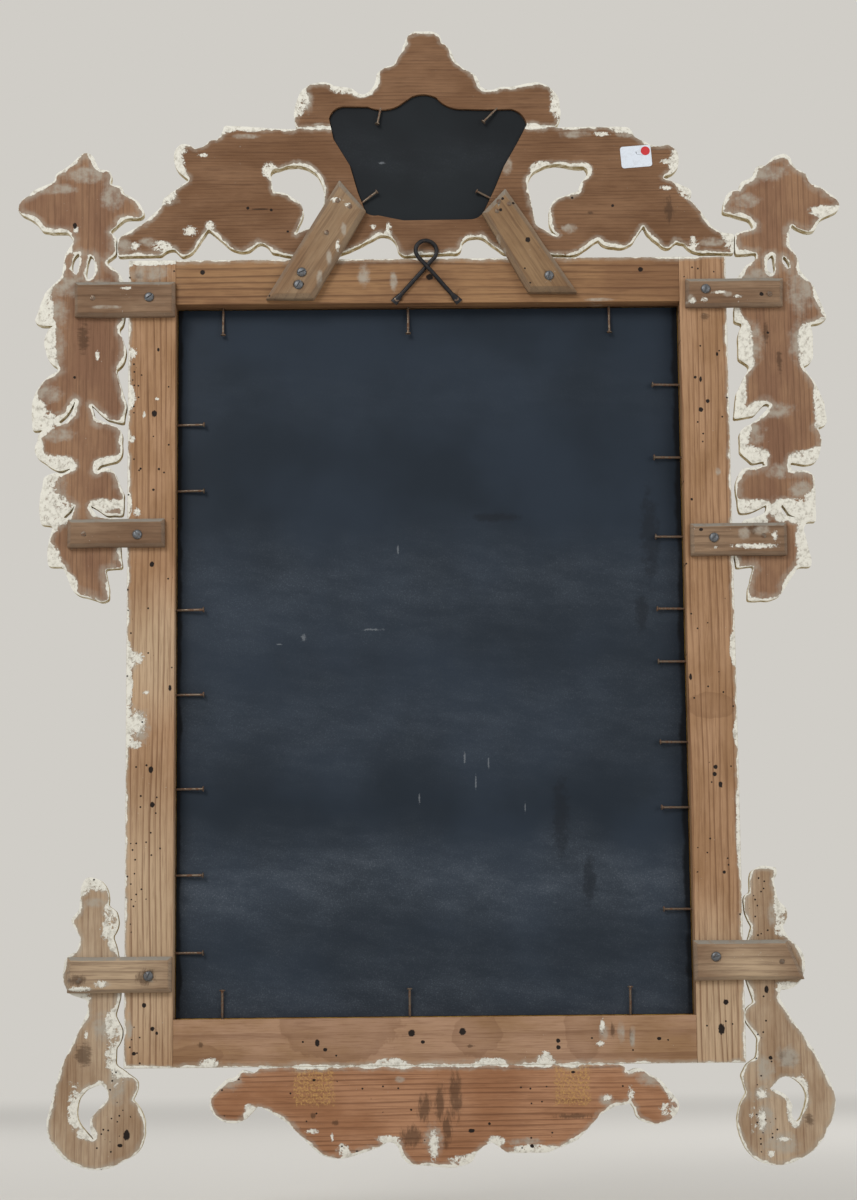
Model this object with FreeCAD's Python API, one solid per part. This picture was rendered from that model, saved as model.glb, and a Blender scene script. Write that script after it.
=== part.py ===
import FreeCAD, Part
import math
import os

os.makedirs("parts", exist_ok=True)

# A carved giltwood wall mirror. Right and left are as seen from the front.
# X runs to the right, Z runs up and Y runs back, towards the wall. While it is
# modelled, Y is zero at the back of the frame and X and Z are zero in its
# middle. The finished pieces are moved so that the eye of the hanging loop is
# the origin.

# Carcass frame
frame_width = 560.0
frame_height = 748.0
frame_depth = 22.5
stile_width = 44.0
rail_width = 43.0
lap_depth = 11.0

# Gilt moulding on the front of the frame
moulding_width = 52.0
moulding_depth = 20.0

# Mirror plate and the nails that hold it
plate_thickness = 4.0
plate_clearance = 1.0
nail_diameter = 2.0
nail_head_diameter = 4.0
nail_head_thickness = 0.8
nail_showing = 26.0
nail_buried = 14.0
nail_seat_gap = 0.05

# Boards that the crest, garlands, scrolls and apron are carved from
board_thickness = 16.0
relief_depth = 15.0

# Crest
crest_reach = 10.0
crest_height = 219.5
crest_gap = 3.0
crest_joint_height = 125.0
centre_block_width = 34.5
centre_block_offset = 1.9
crest_plate_thickness = 2.5
crest_plate_inset = 3.0
crest_plate_clearance = 0.8
crest_lip_width = 6.0
crest_nail_buried = 10.0
cartouche_band_width = 7.0
cartouche_band_height = 8.0

# Garlands and scrolls beside the frame
garland_width = 106.0
garland_height = 430.0
right_garland_drop = 324.0
left_garland_drop = 328.0
scroll_width = 70.0
scroll_height = 262.0
scroll_drop = 89.0

# Apron
apron_inset = 69.0
apron_height = 89.0
apron_offset = -8.0

# Braces between the frame and the crest
brace_lap = 40.0
brace_height = 114.5
brace_thickness = 12.0
brace_bevel = 4.5

# Battens that carry the garlands and scrolls
batten_thickness = 9.0
batten_bevel = 3.5

# Screws and nails in the battens and braces
screw_head_diameter = 9.0
screw_head_height = 2.4
screw_shank_diameter = 4.5
screw_in_frame = 14.0
screw_crown_share = 0.62
screw_sides = 10
fixing_nail_diameter = 2.4
fixing_nail_head_diameter = 5.0
fixing_nail_head_height = 0.7
fixing_nail_in_board = 10.0

# Iron hanging loop
loop_centre_x = 1.2
loop_rise = 6.2
loop_rod_diameter = 4.0
loop_radius = 9.8
loop_crossing_drop = 14.7
loop_foot_drop = 41.0
loop_pad_length = 11.0
loop_nail_reach = 6.5
loop_pad_width = 7.0
loop_pad_thickness = 2.0
loop_rod_gap = 0.1
rod_sides = 6
eye_facet_angle = 15.0

# Paper label on the crest
label_width = 29.0
label_height = 21.0
label_thickness = 0.3
label_x_share = -0.683
label_height_share = 0.431
label_tilt = 4.4
dot_diameter = 8.6
dot_thickness = 0.2
dot_sides = 24
dot_offset_x = -8.8
dot_offset_z = 5.6

# One overrun for every cut
overrun = 5.0

half_width = frame_width / 2
half_height = frame_height / 2
opening_half_width = half_width - stile_width
opening_half_height = half_height - rail_width
crest_half_width = half_width + crest_reach
crest_foot = half_height + crest_gap
apron_half_width = half_width - apron_inset
right_garland_foot = half_height - right_garland_drop
left_garland_foot = half_height - left_garland_drop
scroll_foot = -half_height - scroll_drop
brace_foot = half_height - brace_lap
back_of_plate = -frame_depth + plate_thickness
loop_rod_radius = loop_rod_diameter / 2

# Outlines run anticlockwise as seen from the front. Each corner is a share of
# the board's width, a share of its height and the bow of the arc to the next
# corner as a share of that arc's chord, outwards where it is positive.
crest_shares = [
    (1.003, 0.005, 0), (1.003, 0.087, 0), (0.924, 0.146, 0), (0.859, 0.228, 0.1),
    (0.853, 0.262, 0), (0.772, 0.342, 0), (0.790, 0.360, 0.12), (0.822, 0.433, 0.15),
    (0.797, 0.503, 0.12), (0.755, 0.481, -0.12), (0.707, 0.515, 0.1), (0.683, 0.519, -0.1),
    (0.659, 0.583, 0), (0.445, 0.565, 0), (0.421, 0.565, 0.1),
    (0.419, 0.702, 0.15), (0.362, 0.770, 0.12), (0.297, 0.756, 0),
    (0.241, 0.747, 0), (0.221, 0.724, -0.15), (0.190, 0.724, -0.12), (0.162, 0.802, 0.15),
    (0.107, 0.847, 0), (0.076, 0.911, 0.1), (0.067, 0.950, 0.18),
    (0.028, 1.000, 0), (-0.017, 1.000, 0.22), (-0.053, 0.950, 0.1),
    (-0.086, 0.902, -0.1), (-0.131, 0.829, 0), (-0.162, 0.802, 0.1),
    (-0.176, 0.756, -0.2), (-0.238, 0.747, 0), (-0.283, 0.749, 0), (-0.359, 0.770, 0.2),
    (-0.438, 0.651, 0.12), (-0.422, 0.565, 0), (-0.559, 0.567, 0),
    (-0.652, 0.565, 0.18), (-0.676, 0.524, 0), (-0.731, 0.485, -0.1), (-0.783, 0.487, 0.2),
    (-0.821, 0.415, 0.2), (-0.790, 0.351, -0.12), (-0.769, 0.337, 0), (-0.790, 0.328, 0),
    (-0.855, 0.287, 0.25), (-0.852, 0.246, 0), (-0.890, 0.187, 0), (-0.917, 0.134, -0.15),
    (-0.995, 0.089, 0), (-0.995, 0.000, 0), (-0.890, 0.002, 0.12), (-0.831, 0.046, 0.1),
    (-0.810, 0.055, 0), (-0.790, 0.030, 0.25), (-0.752, 0.046, 0.1), (-0.703, 0.128, 0),
    (-0.676, 0.073, 0.2), (-0.603, 0.032, 0.15), (-0.555, 0.066, 0), (-0.503, 0.016, 0.12),
    (-0.441, 0.000, 0), (-0.248, 0.005, 0), (-0.193, 0.064, -0.22), (-0.110, 0.050, 0.3),
    (-0.083, 0.009, 0), (0.066, 0.000, 0.2), (0.097, 0.032, -0.32), (0.172, 0.077, 0),
    (0.262, 0.018, 0), (0.310, 0.000, 0), (0.438, 0.000, 0), (0.503, 0.018, -0.18),
    (0.548, 0.059, 0), (0.576, 0.025, 0.14), (0.655, 0.059, 0), (0.710, 0.125, 0),
    (0.741, 0.059, 0.12), (0.793, 0.000, 0), (0.817, 0.034, -0.1), (0.862, 0.009, 0),
]
cartouche_shares = [
    (0.048, 0.706, 0.12), (-0.034, 0.702, -0.1), (-0.103, 0.651, 0), (-0.200, 0.647, 0),
    (-0.276, 0.649, 0.16), (-0.329, 0.579, 0), (-0.297, 0.497, 0), (-0.252, 0.392, 0),
    (-0.221, 0.292, 0), (-0.183, 0.187, 0.12), (-0.138, 0.157, 0), (0.076, 0.155, 0),
    (0.159, 0.178, 0.1), (0.198, 0.189, 0), (0.224, 0.278, 0), (0.250, 0.401, 0),
    (0.303, 0.519, 0), (0.317, 0.610, 0.18), (0.269, 0.665, 0), (0.190, 0.663, -0.12),
    (0.090, 0.667, 0),
]
crescent_shares = [
    [
        (0.428, 0.100, 0), (0.405, 0.169, -0.22), (0.434, 0.257, -0.1), (0.497, 0.287, 0),
        (0.509, 0.364, 0.25), (0.479, 0.387, 0.12), (0.386, 0.392, 0.14), (0.334, 0.278, 0.1),
        (0.372, 0.132, 0),
    ],
    [
        (-0.421, 0.084, 0), (-0.355, 0.128, 0), (-0.331, 0.287, 0.2), (-0.369, 0.383, 0.12),
        (-0.466, 0.390, 0), (-0.510, 0.390, 0.3), (-0.516, 0.339, -0.1), (-0.493, 0.280, 0),
        (-0.441, 0.257, -0.2), (-0.397, 0.178, -0.15),
    ],
]
right_garland_shares = [
    (0.406, 1.000, 0.15), (0.307, 0.981, 0), (0.274, 0.960, 0), (0.175, 0.957, 0.15),
    (0.179, 0.926, 0), (0.094, 0.923, 0.2), (0.057, 0.905, 0.12), (-0.123, 0.867, 0.25),
    (-0.094, 0.850, 0), (0.038, 0.848, 0), (0.170, 0.819, 0), (0.113, 0.805, 0),
    (0.113, 0.767, 0), (0.198, 0.753, 0), (0.189, 0.744, 0.12), (0.038, 0.700, 0),
    (0.020, 0.651, 0), (0.047, 0.610, 0), (0.085, 0.600, 0), (0.028, 0.560, 0.16),
    (0.108, 0.509, 0), (0.012, 0.430, 0), (0.038, 0.390, 0), (0.189, 0.400, 0),
    (0.325, 0.433, 0), (0.288, 0.402, 0), (0.104, 0.384, 0.2), (0.052, 0.356, 0),
    (0.047, 0.326, 0.2), (0.132, 0.305, 0), (0.245, 0.298, 0), (0.274, 0.286, 0),
    (0.198, 0.294, 0.2), (0.094, 0.270, 0), (0.028, 0.235, 0), (0.038, 0.188, 0),
    (0.179, 0.188, 0), (0.325, 0.212, 0), (0.264, 0.186, 0), (0.066, 0.181, 0),
    (0.057, 0.116, 0), (0.038, 0.074, 0), (0.189, 0.072, 0), (0.151, 0.028, 0),
    (0.151, 0.007, 0.15), (0.245, 0.002, 0), (0.358, 0.012, 0.15), (0.491, 0.035, 0),
    (0.557, 0.077, 0), (0.689, 0.079, 0), (0.698, 0.114, 0), (0.651, 0.167, 0),
    (0.755, 0.170, 0), (0.774, 0.209, 0), (0.736, 0.272, 0.12), (0.566, 0.281, 0),
    (0.491, 0.293, 0), (0.613, 0.286, 0), (0.774, 0.312, 0.2), (0.792, 0.353, 0.18),
    (0.736, 0.377, 0), (0.840, 0.376, 0), (0.844, 0.437, 0.12), (0.613, 0.509, 0),
    (0.623, 0.516, 0.15), (0.726, 0.553, 0.12), (0.736, 0.581, 0.12), (0.660, 0.609, 0),
    (0.774, 0.609, 0), (0.830, 0.619, 0), (0.736, 0.684, 0), (0.594, 0.719, 0),
    (0.566, 0.770, 0), (0.491, 0.798, 0), (0.547, 0.819, 0), (0.679, 0.817, 0),
    (0.764, 0.821, 0), (0.821, 0.840, 0), (0.953, 0.860, 0), (0.991, 0.870, 0.15),
    (0.887, 0.902, 0.12), (0.774, 0.921, 0), (0.660, 0.935, 0.15), (0.642, 0.953, 0),
    (0.566, 0.963, 0),
]
right_garland_slot_shares = [
    [(0.443, 0.772, 0), (0.434, 0.749, 0), (0.462, 0.723, 0.15), (0.505, 0.740, 0.12)],
    [(0.344, 0.767, 0.15), (0.302, 0.740, 0.15), (0.358, 0.710, 0.12), (0.377, 0.735, 0)],
    [
        (0.462, 0.442, 0), (0.491, 0.412, 0), (0.557, 0.390, 0), (0.613, 0.394, 0),
        (0.528, 0.413, 0),
    ],
    [(0.458, 0.214, 0), (0.500, 0.184, 0), (0.566, 0.184, 0), (0.500, 0.198, 0)],
]
left_garland_shares = [
    (0.547, 0.995, 0.2), (0.613, 0.974, 0), (0.660, 0.958, 0.15), (0.755, 0.942, 0),
    (0.764, 0.928, 0), (0.868, 0.919, 0), (1.000, 0.893, 0.2), (1.009, 0.863, 0),
    (0.858, 0.847, 0), (0.802, 0.821, 0.15), (0.679, 0.822, 0.12), (0.604, 0.835, 0),
    (0.575, 0.814, 0), (0.571, 0.786, 0), (0.651, 0.756, 0), (0.651, 0.733, 0),
    (0.783, 0.693, 0), (0.887, 0.623, 0), (0.830, 0.612, 0), (0.736, 0.609, 0),
    (0.759, 0.584, 0), (0.755, 0.540, 0.2), (0.660, 0.516, 0), (0.774, 0.474, 0),
    (0.840, 0.433, 0), (0.858, 0.391, 0.15), (0.774, 0.380, 0), (0.811, 0.353, 0),
    (0.774, 0.312, 0.15), (0.642, 0.298, 0), (0.524, 0.302, 0), (0.538, 0.284, 0),
    (0.642, 0.286, 0.25), (0.736, 0.253, 0), (0.736, 0.172, 0), (0.660, 0.172, 0),
    (0.623, 0.158, 0), (0.689, 0.088, 0), (0.679, 0.074, 0), (0.566, 0.074, 0),
    (0.481, 0.042, 0), (0.425, 0.019, 0.15), (0.236, 0.002, 0), (0.113, 0.000, 0),
    (0.123, 0.026, 0), (0.179, 0.077, 0), (0.028, 0.072, 0), (0.012, 0.100, 0),
    (0.094, 0.177, 0), (0.217, 0.184, 0), (0.292, 0.193, 0), (0.311, 0.210, 0),
    (0.170, 0.194, 0), (0.066, 0.191, 0), (0.038, 0.242, 0.12), (0.113, 0.291, 0),
    (0.217, 0.293, 0), (0.311, 0.297, 0.2), (0.292, 0.305, 0), (0.189, 0.300, 0),
    (0.085, 0.326, 0), (0.085, 0.365, 0.15), (0.170, 0.386, 0), (0.245, 0.398, 0),
    (0.368, 0.430, 0), (0.316, 0.433, 0), (0.217, 0.407, 0), (0.038, 0.399, 0),
    (0.066, 0.456, 0), (0.160, 0.502, 0), (0.189, 0.516, 0), (0.094, 0.533, 0),
    (0.094, 0.586, 0), (0.132, 0.612, 0), (0.066, 0.616, 0), (0.066, 0.642, 0),
    (0.104, 0.714, 0), (0.170, 0.740, 0), (0.274, 0.756, 0), (0.278, 0.770, 0),
    (0.090, 0.767, 0), (0.090, 0.814, 0), (0.264, 0.826, 0), (0.217, 0.847, 0),
    (0.151, 0.851, 0), (-0.019, 0.863, 0), (0.009, 0.893, 0.2), (0.132, 0.912, 0),
    (0.151, 0.930, 0), (0.264, 0.942, 0), (0.283, 0.958, 0.2), (0.377, 0.967, 0.12),
]
left_garland_slot_shares = [
    [(0.425, 0.767, 0), (0.443, 0.730, 0), (0.415, 0.723, 0.2), (0.368, 0.744, 0.15)],
    [(0.519, 0.765, 0), (0.575, 0.744, 0), (0.557, 0.733, 0), (0.500, 0.749, 0)],
    [(0.538, 0.407, 0.2), (0.585, 0.395, 0.2), (0.538, 0.395, 0.3)],
    [(0.443, 0.212, 0), (0.500, 0.188, 0), (0.566, 0.181, 0), (0.472, 0.186, 0.2)],
]
right_scroll_shares = [
    (0.429, 0.994, 0.12), (0.257, 0.966, 0.12), (0.214, 0.897, 0), (0.114, 0.878, 0.15),
    (0.143, 0.790, 0), (0.020, 0.660, 0), (0.057, 0.573, 0), (0.114, 0.519, 0),
    (0.020, 0.473, 0.12), (0.100, 0.408, 0), (0.100, 0.353, 0), (-0.179, 0.298, 0.12),
    (-0.114, 0.233, 0.12), (-0.279, 0.137, 0.18), (0.000, 0.027, 0.14), (0.600, 0.015, 0.16),
    (0.986, 0.164, 0), (0.814, 0.344, 0), (0.471, 0.531, 0), (0.471, 0.571, 0),
    (0.686, 0.592, 0.15), (0.779, 0.683, 0.22), (0.614, 0.737, 0), (0.571, 0.786, 0),
    (0.700, 0.847, 0), (0.586, 0.885, 0), (0.571, 0.958, 0), (0.529, 0.985, 0.15),
]
right_scroll_eye_shares = [
    (0.193, 0.240, -0.15), (0.286, 0.284, -0.15), (0.571, 0.233, -0.14), (0.500, 0.134, 0),
    (0.371, 0.097, 0.1), (0.414, 0.176, 0),
]
left_scroll_shares = [
    (0.343, 1.013, 0), (0.457, 1.008, 0.12), (0.414, 0.962, 0), (0.471, 0.893, 0),
    (0.579, 0.863, 0.15), (0.514, 0.802, 0), (0.586, 0.767, 0), (0.743, 0.725, 0.12),
    (0.771, 0.641, 0.2), (0.471, 0.588, 0), (0.450, 0.561, 0), (0.600, 0.489, 0),
    (0.886, 0.378, 0), (1.114, 0.248, 0.12), (1.029, 0.118, 0.12), (0.643, 0.011, 0.1),
    (0.243, -0.004, 0.14), (-0.086, 0.084, 0.14), (0.000, 0.237, 0), (-0.071, 0.294, 0.12),
    (0.129, 0.355, 0), (0.157, 0.420, 0), (0.014, 0.477, 0.25), (0.121, 0.542, 0),
    (0.014, 0.634, 0), (0.057, 0.756, 0), (0.121, 0.805, 0.1), (0.029, 0.878, 0.1),
    (0.043, 0.914, 0), (0.100, 0.920, 0), (0.107, 0.977, 0.15), (0.186, 1.004, 0.1),
]
left_scroll_eye_shares = [
    (0.286, 0.248, 0), (0.457, 0.290, 0.12), (0.657, 0.275, 0.2), (0.714, 0.176, 0.1),
    (0.629, 0.135, 0.2), (0.586, 0.187, -0.18),
]
apron_shares = [
    (0.782, 0.000, 0), (-0.765, 0.000, 0), (-0.779, 0.079, 0), (-0.815, 0.051, 0.1),
    (-0.853, 0.065, 0), (-0.872, 0.101, 0), (-0.924, 0.163, 0), (-1.000, 0.393, 0.2),
    (-0.934, 0.584, 0.12), (-0.863, 0.590, 0.22), (-0.809, 0.444, 0.1), (-0.794, 0.393, 0),
    (-0.720, 0.427, 0), (-0.668, 0.494, 0), (-0.566, 0.753, 0), (-0.436, 0.876, 0),
    (-0.265, 0.876, 0), (-0.199, 0.767, -0.12), (-0.118, 0.955, 0.1), (0.038, 1.000, 0),
    (0.133, 0.989, 0.15), (0.194, 0.843, -0.35), (0.270, 0.803, 0), (0.417, 0.910, 0.14),
    (0.569, 0.787, 0), (0.673, 0.551, 0), (0.720, 0.478, 0), (0.791, 0.382, 0),
    (0.844, 0.517, 0.15), (0.957, 0.517, 0.2), (0.991, 0.258, 0), (0.924, 0.107, 0),
    (0.893, 0.101, 0), (0.863, 0.020, 0), (0.810, 0.056, 0),
]

# Gilt moulding across its width from the outer edge, and its rise from the frame
moulding_shares = [
    (0.00, 0.00, 0), (0.00, 0.35, -0.22), (0.14, 0.70, 0), (0.18, 0.70, -0.35), (0.42, 0.80, 0.12),
    (0.74, 0.34, 0), (0.78, 0.34, -0.4), (0.90, 0.34, 0), (0.94, 0.24, -0.2), (1.00, 0.12, 0),
    (1.00, 0.00, 0),
]

# Braces: shares of the frame's half width, and of the brace's height
brace_shares = {
    "right_brace": (1, [(0.293, 1.000), (0.205, 0.735), (0.381, 0.000), (0.541, 0.000)]),
    "left_brace": (-1, [(0.264, 0.918), (0.185, 0.707), (0.336, 0.044), (0.497, 0.040)]),
}

# Battens: inner end, outer end above, outer end below, top and bottom, as
# shares of the frame's half width and half height
batten_shares = {
    "right_upper_batten": (1, 0.843, 1.179, 1.179, 0.941, 0.852),
    "right_middle_batten": (1, 0.875, 1.195, 1.195, 0.339, 0.269),
    "right_lower_batten": (1, 0.846, 1.182, 1.182, -0.734, -0.820),
    "left_upper_batten": (-1, 0.862, 1.190, 1.186, 0.939, 0.866),
    "left_middle_batten": (-1, 0.859, 1.177, 1.177, 0.317, 0.236),
    "left_lower_batten": (-1, 0.838, 1.140, 1.193, -0.707, -0.803),
}

# Places of fixings as shares of the frame's half width, and of its half height
# for battens or of the brace's height for braces
batten_screw_shares = [
    (0.929, 0.899), (0.964, 0.298), (0.920, -0.781),
    (-0.928, 0.910), (-0.935, 0.279), (-0.908, -0.747),
]
batten_nail_shares = [
    (1.117, 0.898), (1.141, 0.301), (1.143, -0.790),
    (-1.141, 0.896), (-1.100, 0.283), (-1.120, -0.760),
]
brace_screw_shares = [(0.420, 0.212), (0.431, 0.108), (-0.405, 0.170)]
brace_nail_shares = [
    (0.300, 0.813), (0.259, 0.764), (0.337, 0.542),
    (-0.240, 0.797), (-0.275, 0.777), (-0.234, 0.715),
]
side_nail_shares = {
    1: [0.586, 0.418, 0.118, -0.093, -0.326, -0.537, -0.725],
    -1: [0.680, 0.494, 0.293, 0.112, -0.020, -0.220, -0.381, -0.629],
}
crest_nail_shares = [
    ((0.148, 0.655), (0.159, 0.583)), ((0.214, 0.232), (0.162, 0.282)),
    ((-0.241, 0.665), (-0.186, 0.588)), ((-0.209, 0.250), (-0.162, 0.282)),
]
end_nail_shares = {
    1: [0.816, 0.079, -0.723],
    -1: [0.816, 0.095, -0.754],
}

# Carved relief on the fronts. Scrolls: centre, radius, start and sweep in
# degrees. Leaves: root, tip and width. Flowers: centre and radius. Places are
# shares of the board's width and height, radii and widths of the relief's depth.
crest_scroll_shares = [
    (0.425, 0.240, 2.75, -70, 250), (0.345, 0.655, 1.25, -60, 270), (0.760, 0.400, 0.95, 20, 290),
]
crest_leaf_shares = [
    (0.600, 0.150, 0.940, 0.050, 1.3), (0.600, 0.190, 0.700, 0.420, 1.3),
    (0.560, 0.400, 0.640, 0.560, 1.0), (0.640, 0.200, 0.840, 0.240, 1.2),
    (0.250, 0.060, 0.090, 0.020, 0.9), (0.320, 0.500, 0.420, 0.560, 0.9),
]
crest_flower_shares = [(0.425, 0.178, 0.70)]
plume_leaf_shares = [(-0.150, 0.800), (-0.085, 0.900), (0.006, 0.985), (0.095, 0.900), (0.160, 0.800)]
shoulder_reach_share = 0.46
plume_foot_share = 0.735
plume_leaf_width_share = 0.85
garland_leaf_shares = [
    (0.430, 0.780, 0.430, 0.700, 0.9), (0.430, 0.720, 0.760, 0.620, 1.3),
    (0.430, 0.720, 0.100, 0.640, 1.3), (0.430, 0.600, 0.690, 0.550, 1.2),
    (0.430, 0.600, 0.120, 0.550, 1.2), (0.430, 0.500, 0.780, 0.395, 1.5),
    (0.430, 0.500, 0.090, 0.400, 1.5), (0.430, 0.375, 0.710, 0.325, 1.2),
    (0.430, 0.375, 0.130, 0.330, 1.2), (0.430, 0.290, 0.700, 0.190, 1.3),
    (0.430, 0.290, 0.090, 0.215, 1.3), (0.430, 0.170, 0.640, 0.095, 1.1),
    (0.430, 0.170, 0.120, 0.095, 1.1), (0.430, 0.200, 0.250, 0.020, 1.2),
]
garland_flower_shares = [(0.430, 0.890, 2.75)]
scroll_scroll_shares = [(0.400, 0.185, 1.95, 60, 310), (0.390, 0.650, 1.05, -100, 250)]
scroll_leaf_shares = [
    (0.320, 0.740, 0.400, 0.980, 1.2), (0.300, 0.780, 0.150, 0.870, 0.8),
    (0.400, 0.780, 0.620, 0.850, 0.9), (0.250, 0.560, 0.560, 0.360, 1.0),
]
scroll_flower_shares = [(0.390, 0.650, 0.55)]
apron_scroll_shares = [(0.890, 0.360, 1.05, 0, 290), (0.430, 0.450, 1.55, 190, 200)]
apron_leaf_shares = [
    (0.000, 0.200, 0.000, 0.970, 1.1), (0.000, 0.200, 0.110, 0.900, 1.0),
    (0.000, 0.200, 0.190, 0.640, 1.0), (0.430, 0.480, 0.300, 0.760, 0.9),
    (0.430, 0.480, 0.600, 0.640, 0.9), (0.500, 0.350, 0.760, 0.230, 1.0),
]
apron_flower_shares = [(0.430, 0.450, 0.75)]

# Scrolls' band, leaves' shoulder and flowers' petals
half_turn = 180.0
scroll_band_share = 0.55
scroll_rise_share = 0.42
scroll_facet_angle = 30.0
leaf_shoulder_share = 0.42
leaf_rise_share = 0.40
petal_width_share = 0.62
petal_count = 6


def at(x, y, z):
    return FreeCAD.Vector(x, y, z)


def arc_middle(start, end, bow):
    """Middle point of an arc that bows to the right of its way by a share of its chord."""
    chord = end.sub(start)
    return start.add(end).multiply(1 / 2).add(at(chord.z, 0, -chord.x).multiply(bow))


def arc_or_line(start, end, bow):
    if bow:
        return Part.Arc(start, arc_middle(start, end, bow), end).toShape()
    return Part.LineSegment(start, end).toShape()


def outline_face(corners):
    """Flat face in the plane of the frame's back from (x, z, bow) corners."""
    edges = []
    for (x, z, bow), (next_x, next_z, _) in zip(corners, corners[1:] + corners[:1]):
        edges.append(arc_or_line(at(x, 0, z), at(next_x, 0, next_z), bow))
    return Part.Face(Part.Wire(edges))


def slab(face, back, front):
    """Prism of a flat outline between two depths."""
    solid = face.extrude(at(0, front - back, 0))
    solid.translate(at(0, back, 0))
    return solid


def box(x_from, x_to, y_from, y_to, z_from, z_to):
    return Part.makeBox(x_to - x_from, y_to - y_from, z_to - z_from, at(x_from, y_from, z_from))


def flat_face(corners):
    return Part.Face(Part.makePolygon(corners + corners[:1]))


def solid_of(faces):
    """Solid inside a closed set of flat faces."""
    solid = Part.Solid(Part.Shell(faces))
    if solid.Volume < 0:
        solid.reverse()
    return solid


def prism_between(lower, upper):
    """Solid between two outlines with as many corners, face to face."""
    faces = [flat_face(lower), flat_face(upper)]
    count = len(lower)
    for index in range(count):
        after = (index + 1) % count
        faces.append(flat_face([lower[index], lower[after], upper[after], upper[index]]))
    return solid_of(faces)


def ring_of_corners(radius, x, y, z, sides):
    angles = [2 * math.pi * (count + 1 / 2) / sides for count in range(sides)]
    return [at(x + radius * math.cos(angle), y, z + radius * math.sin(angle)) for angle in angles]


def one_solid(shape):
    """The one solid that a cut or a fuse leaves, with its seams merged."""
    return max(shape.removeSplitter().Solids, key=lambda solid: solid.Volume)


def crest_place(share):
    x, z, bow = share
    return x * crest_half_width, crest_foot + z * crest_height, bow


def side_place(side, width, foot, height):
    """Places a share beside the frame, outwards from its edge."""
    def place(share):
        x, z, bow = share
        return side * (half_width + x * width), foot + z * height, bow
    return place


def apron_place(share):
    x, z, bow = share
    return apron_offset + x * apron_half_width, -half_height - z * apron_height, bow


def brace_place(share):
    x, z = share
    return x * half_width, brace_foot + z * brace_height


def batten_place(share):
    x, z = share
    return x * half_width, z * half_height


def placed(place, shares):
    return [place(share) for share in shares]


def shrunk_cartouche(edge):
    """Cartouche outline drawn in by a width all round, or out where it is negative."""
    drawn = placed(crest_place, cartouche_shares)
    widths = [x for x, _, _ in drawn]
    heights = [z for _, z, _ in drawn]
    half_across = (max(widths) - min(widths)) / 2
    half_up = (max(heights) - min(heights)) / 2
    middle = (max(heights) + min(heights)) / 2
    corners = []
    for x, z, bow in drawn:
        across = x * (half_across - edge) / half_across
        corners.append((across, middle + (z - middle) * (half_up - edge) / half_up, bow))
    return outline_face(corners)


def screw(x, z, surface, buried):
    """Screw whose head seats on a surface that faces back."""
    head = screw_head_diameter / 2
    shank = screw_shank_diameter / 2
    foot = ring_of_corners(head, x, surface, z, screw_sides)
    crown = ring_of_corners(
        head * screw_crown_share, x, surface + screw_head_height, z, screw_sides)
    tip = ring_of_corners(shank, x, surface - buried, z, screw_sides)
    neck = ring_of_corners(shank, x, surface, z, screw_sides)
    return one_solid(prism_between(foot, crown).fuse(prism_between(tip, neck)))


def fixing_nail(x, z, surface, buried):
    """Square nail driven straight in, its head seated on a surface that faces back."""
    head = fixing_nail_head_diameter / 2
    shank = fixing_nail_diameter / 2
    body = box(x - shank, x + shank, surface - buried, surface, z - shank, z + shank)
    top = surface + fixing_nail_head_height
    return one_solid(body.fuse(box(x - head, x + head, surface, top, z - head, z + head)))


def plate_nail(foot, inwards, showing, buried, seat):
    """Square nail driven into the edge of a rebate, lying behind a plate, head inwards."""
    length = showing + buried
    half = nail_diameter / 2
    head = nail_head_diameter / 2
    shank = box(-half, half, -half, half, -buried, showing)
    cap = box(-head, head, -head, head, showing, showing + nail_head_thickness)
    whole = one_solid(shank.fuse(cap))
    lean = math.degrees(math.atan2(head - half, length))
    whole.rotate(at(0, 0, 0), at(1, 0, 0), -lean)
    whole.rotate(at(0, 0, 0), at(0, 1, 0), math.degrees(math.atan2(inwards.x, inwards.z)))
    lowest = head + nail_head_thickness * math.sin(math.radians(lean))
    rise = seat + nail_seat_gap + lowest - showing * math.sin(math.radians(lean))
    whole.translate(at(foot.x, rise, foot.z))
    return whole


def main_plate_nails():
    """Nails along the four edges of the opening, heads towards the middle."""
    nails = []
    for side, heights in side_nail_shares.items():
        for share in heights:
            foot = at(side * opening_half_width, 0, share * half_height)
            inwards = at(-side, 0, 0)
            nails.append(plate_nail(foot, inwards, nail_showing, nail_buried, back_of_plate))
    for side, places in end_nail_shares.items():
        for share in places:
            foot = at(share * opening_half_width, 0, side * opening_half_height)
            inwards = at(0, 0, -side)
            nails.append(plate_nail(foot, inwards, nail_showing, nail_buried, back_of_plate))
    return nails


def frame_pieces(nails, screws):
    """Two stiles and two rails, half lapped at the corners, stiles behind."""
    pieces = {}
    holes = Part.makeCompound(nails + screws)
    for name, side in (("frame_right_stile", 1), ("frame_left_stile", -1)):
        stile = box(opening_half_width, half_width, -frame_depth, 0, -half_height, half_height)
        for end in (1, -1):
            inner = min(end * opening_half_height, end * half_height)
            stile = stile.cut(box(
                opening_half_width, half_width, -frame_depth, -lap_depth,
                inner, inner + rail_width))
        if side < 0:
            stile = stile.mirror(at(0, 0, 0), at(1, 0, 0))
        pieces[name] = one_solid(stile.cut(holes))
    for name, end in (("frame_top_rail", 1), ("frame_bottom_rail", -1)):
        inner = min(end * opening_half_height, end * half_height)
        rail = box(-opening_half_width, opening_half_width, -frame_depth, 0, inner, inner + rail_width)
        tongue = box(-half_width, half_width, -frame_depth, -lap_depth, inner, inner + rail_width)
        pieces[name] = one_solid(rail.fuse(tongue).cut(holes))
    return pieces


def mirror_plate():
    across = opening_half_width - plate_clearance
    up = opening_half_height - plate_clearance
    return box(-across, across, -frame_depth, back_of_plate, -up, up)


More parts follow.
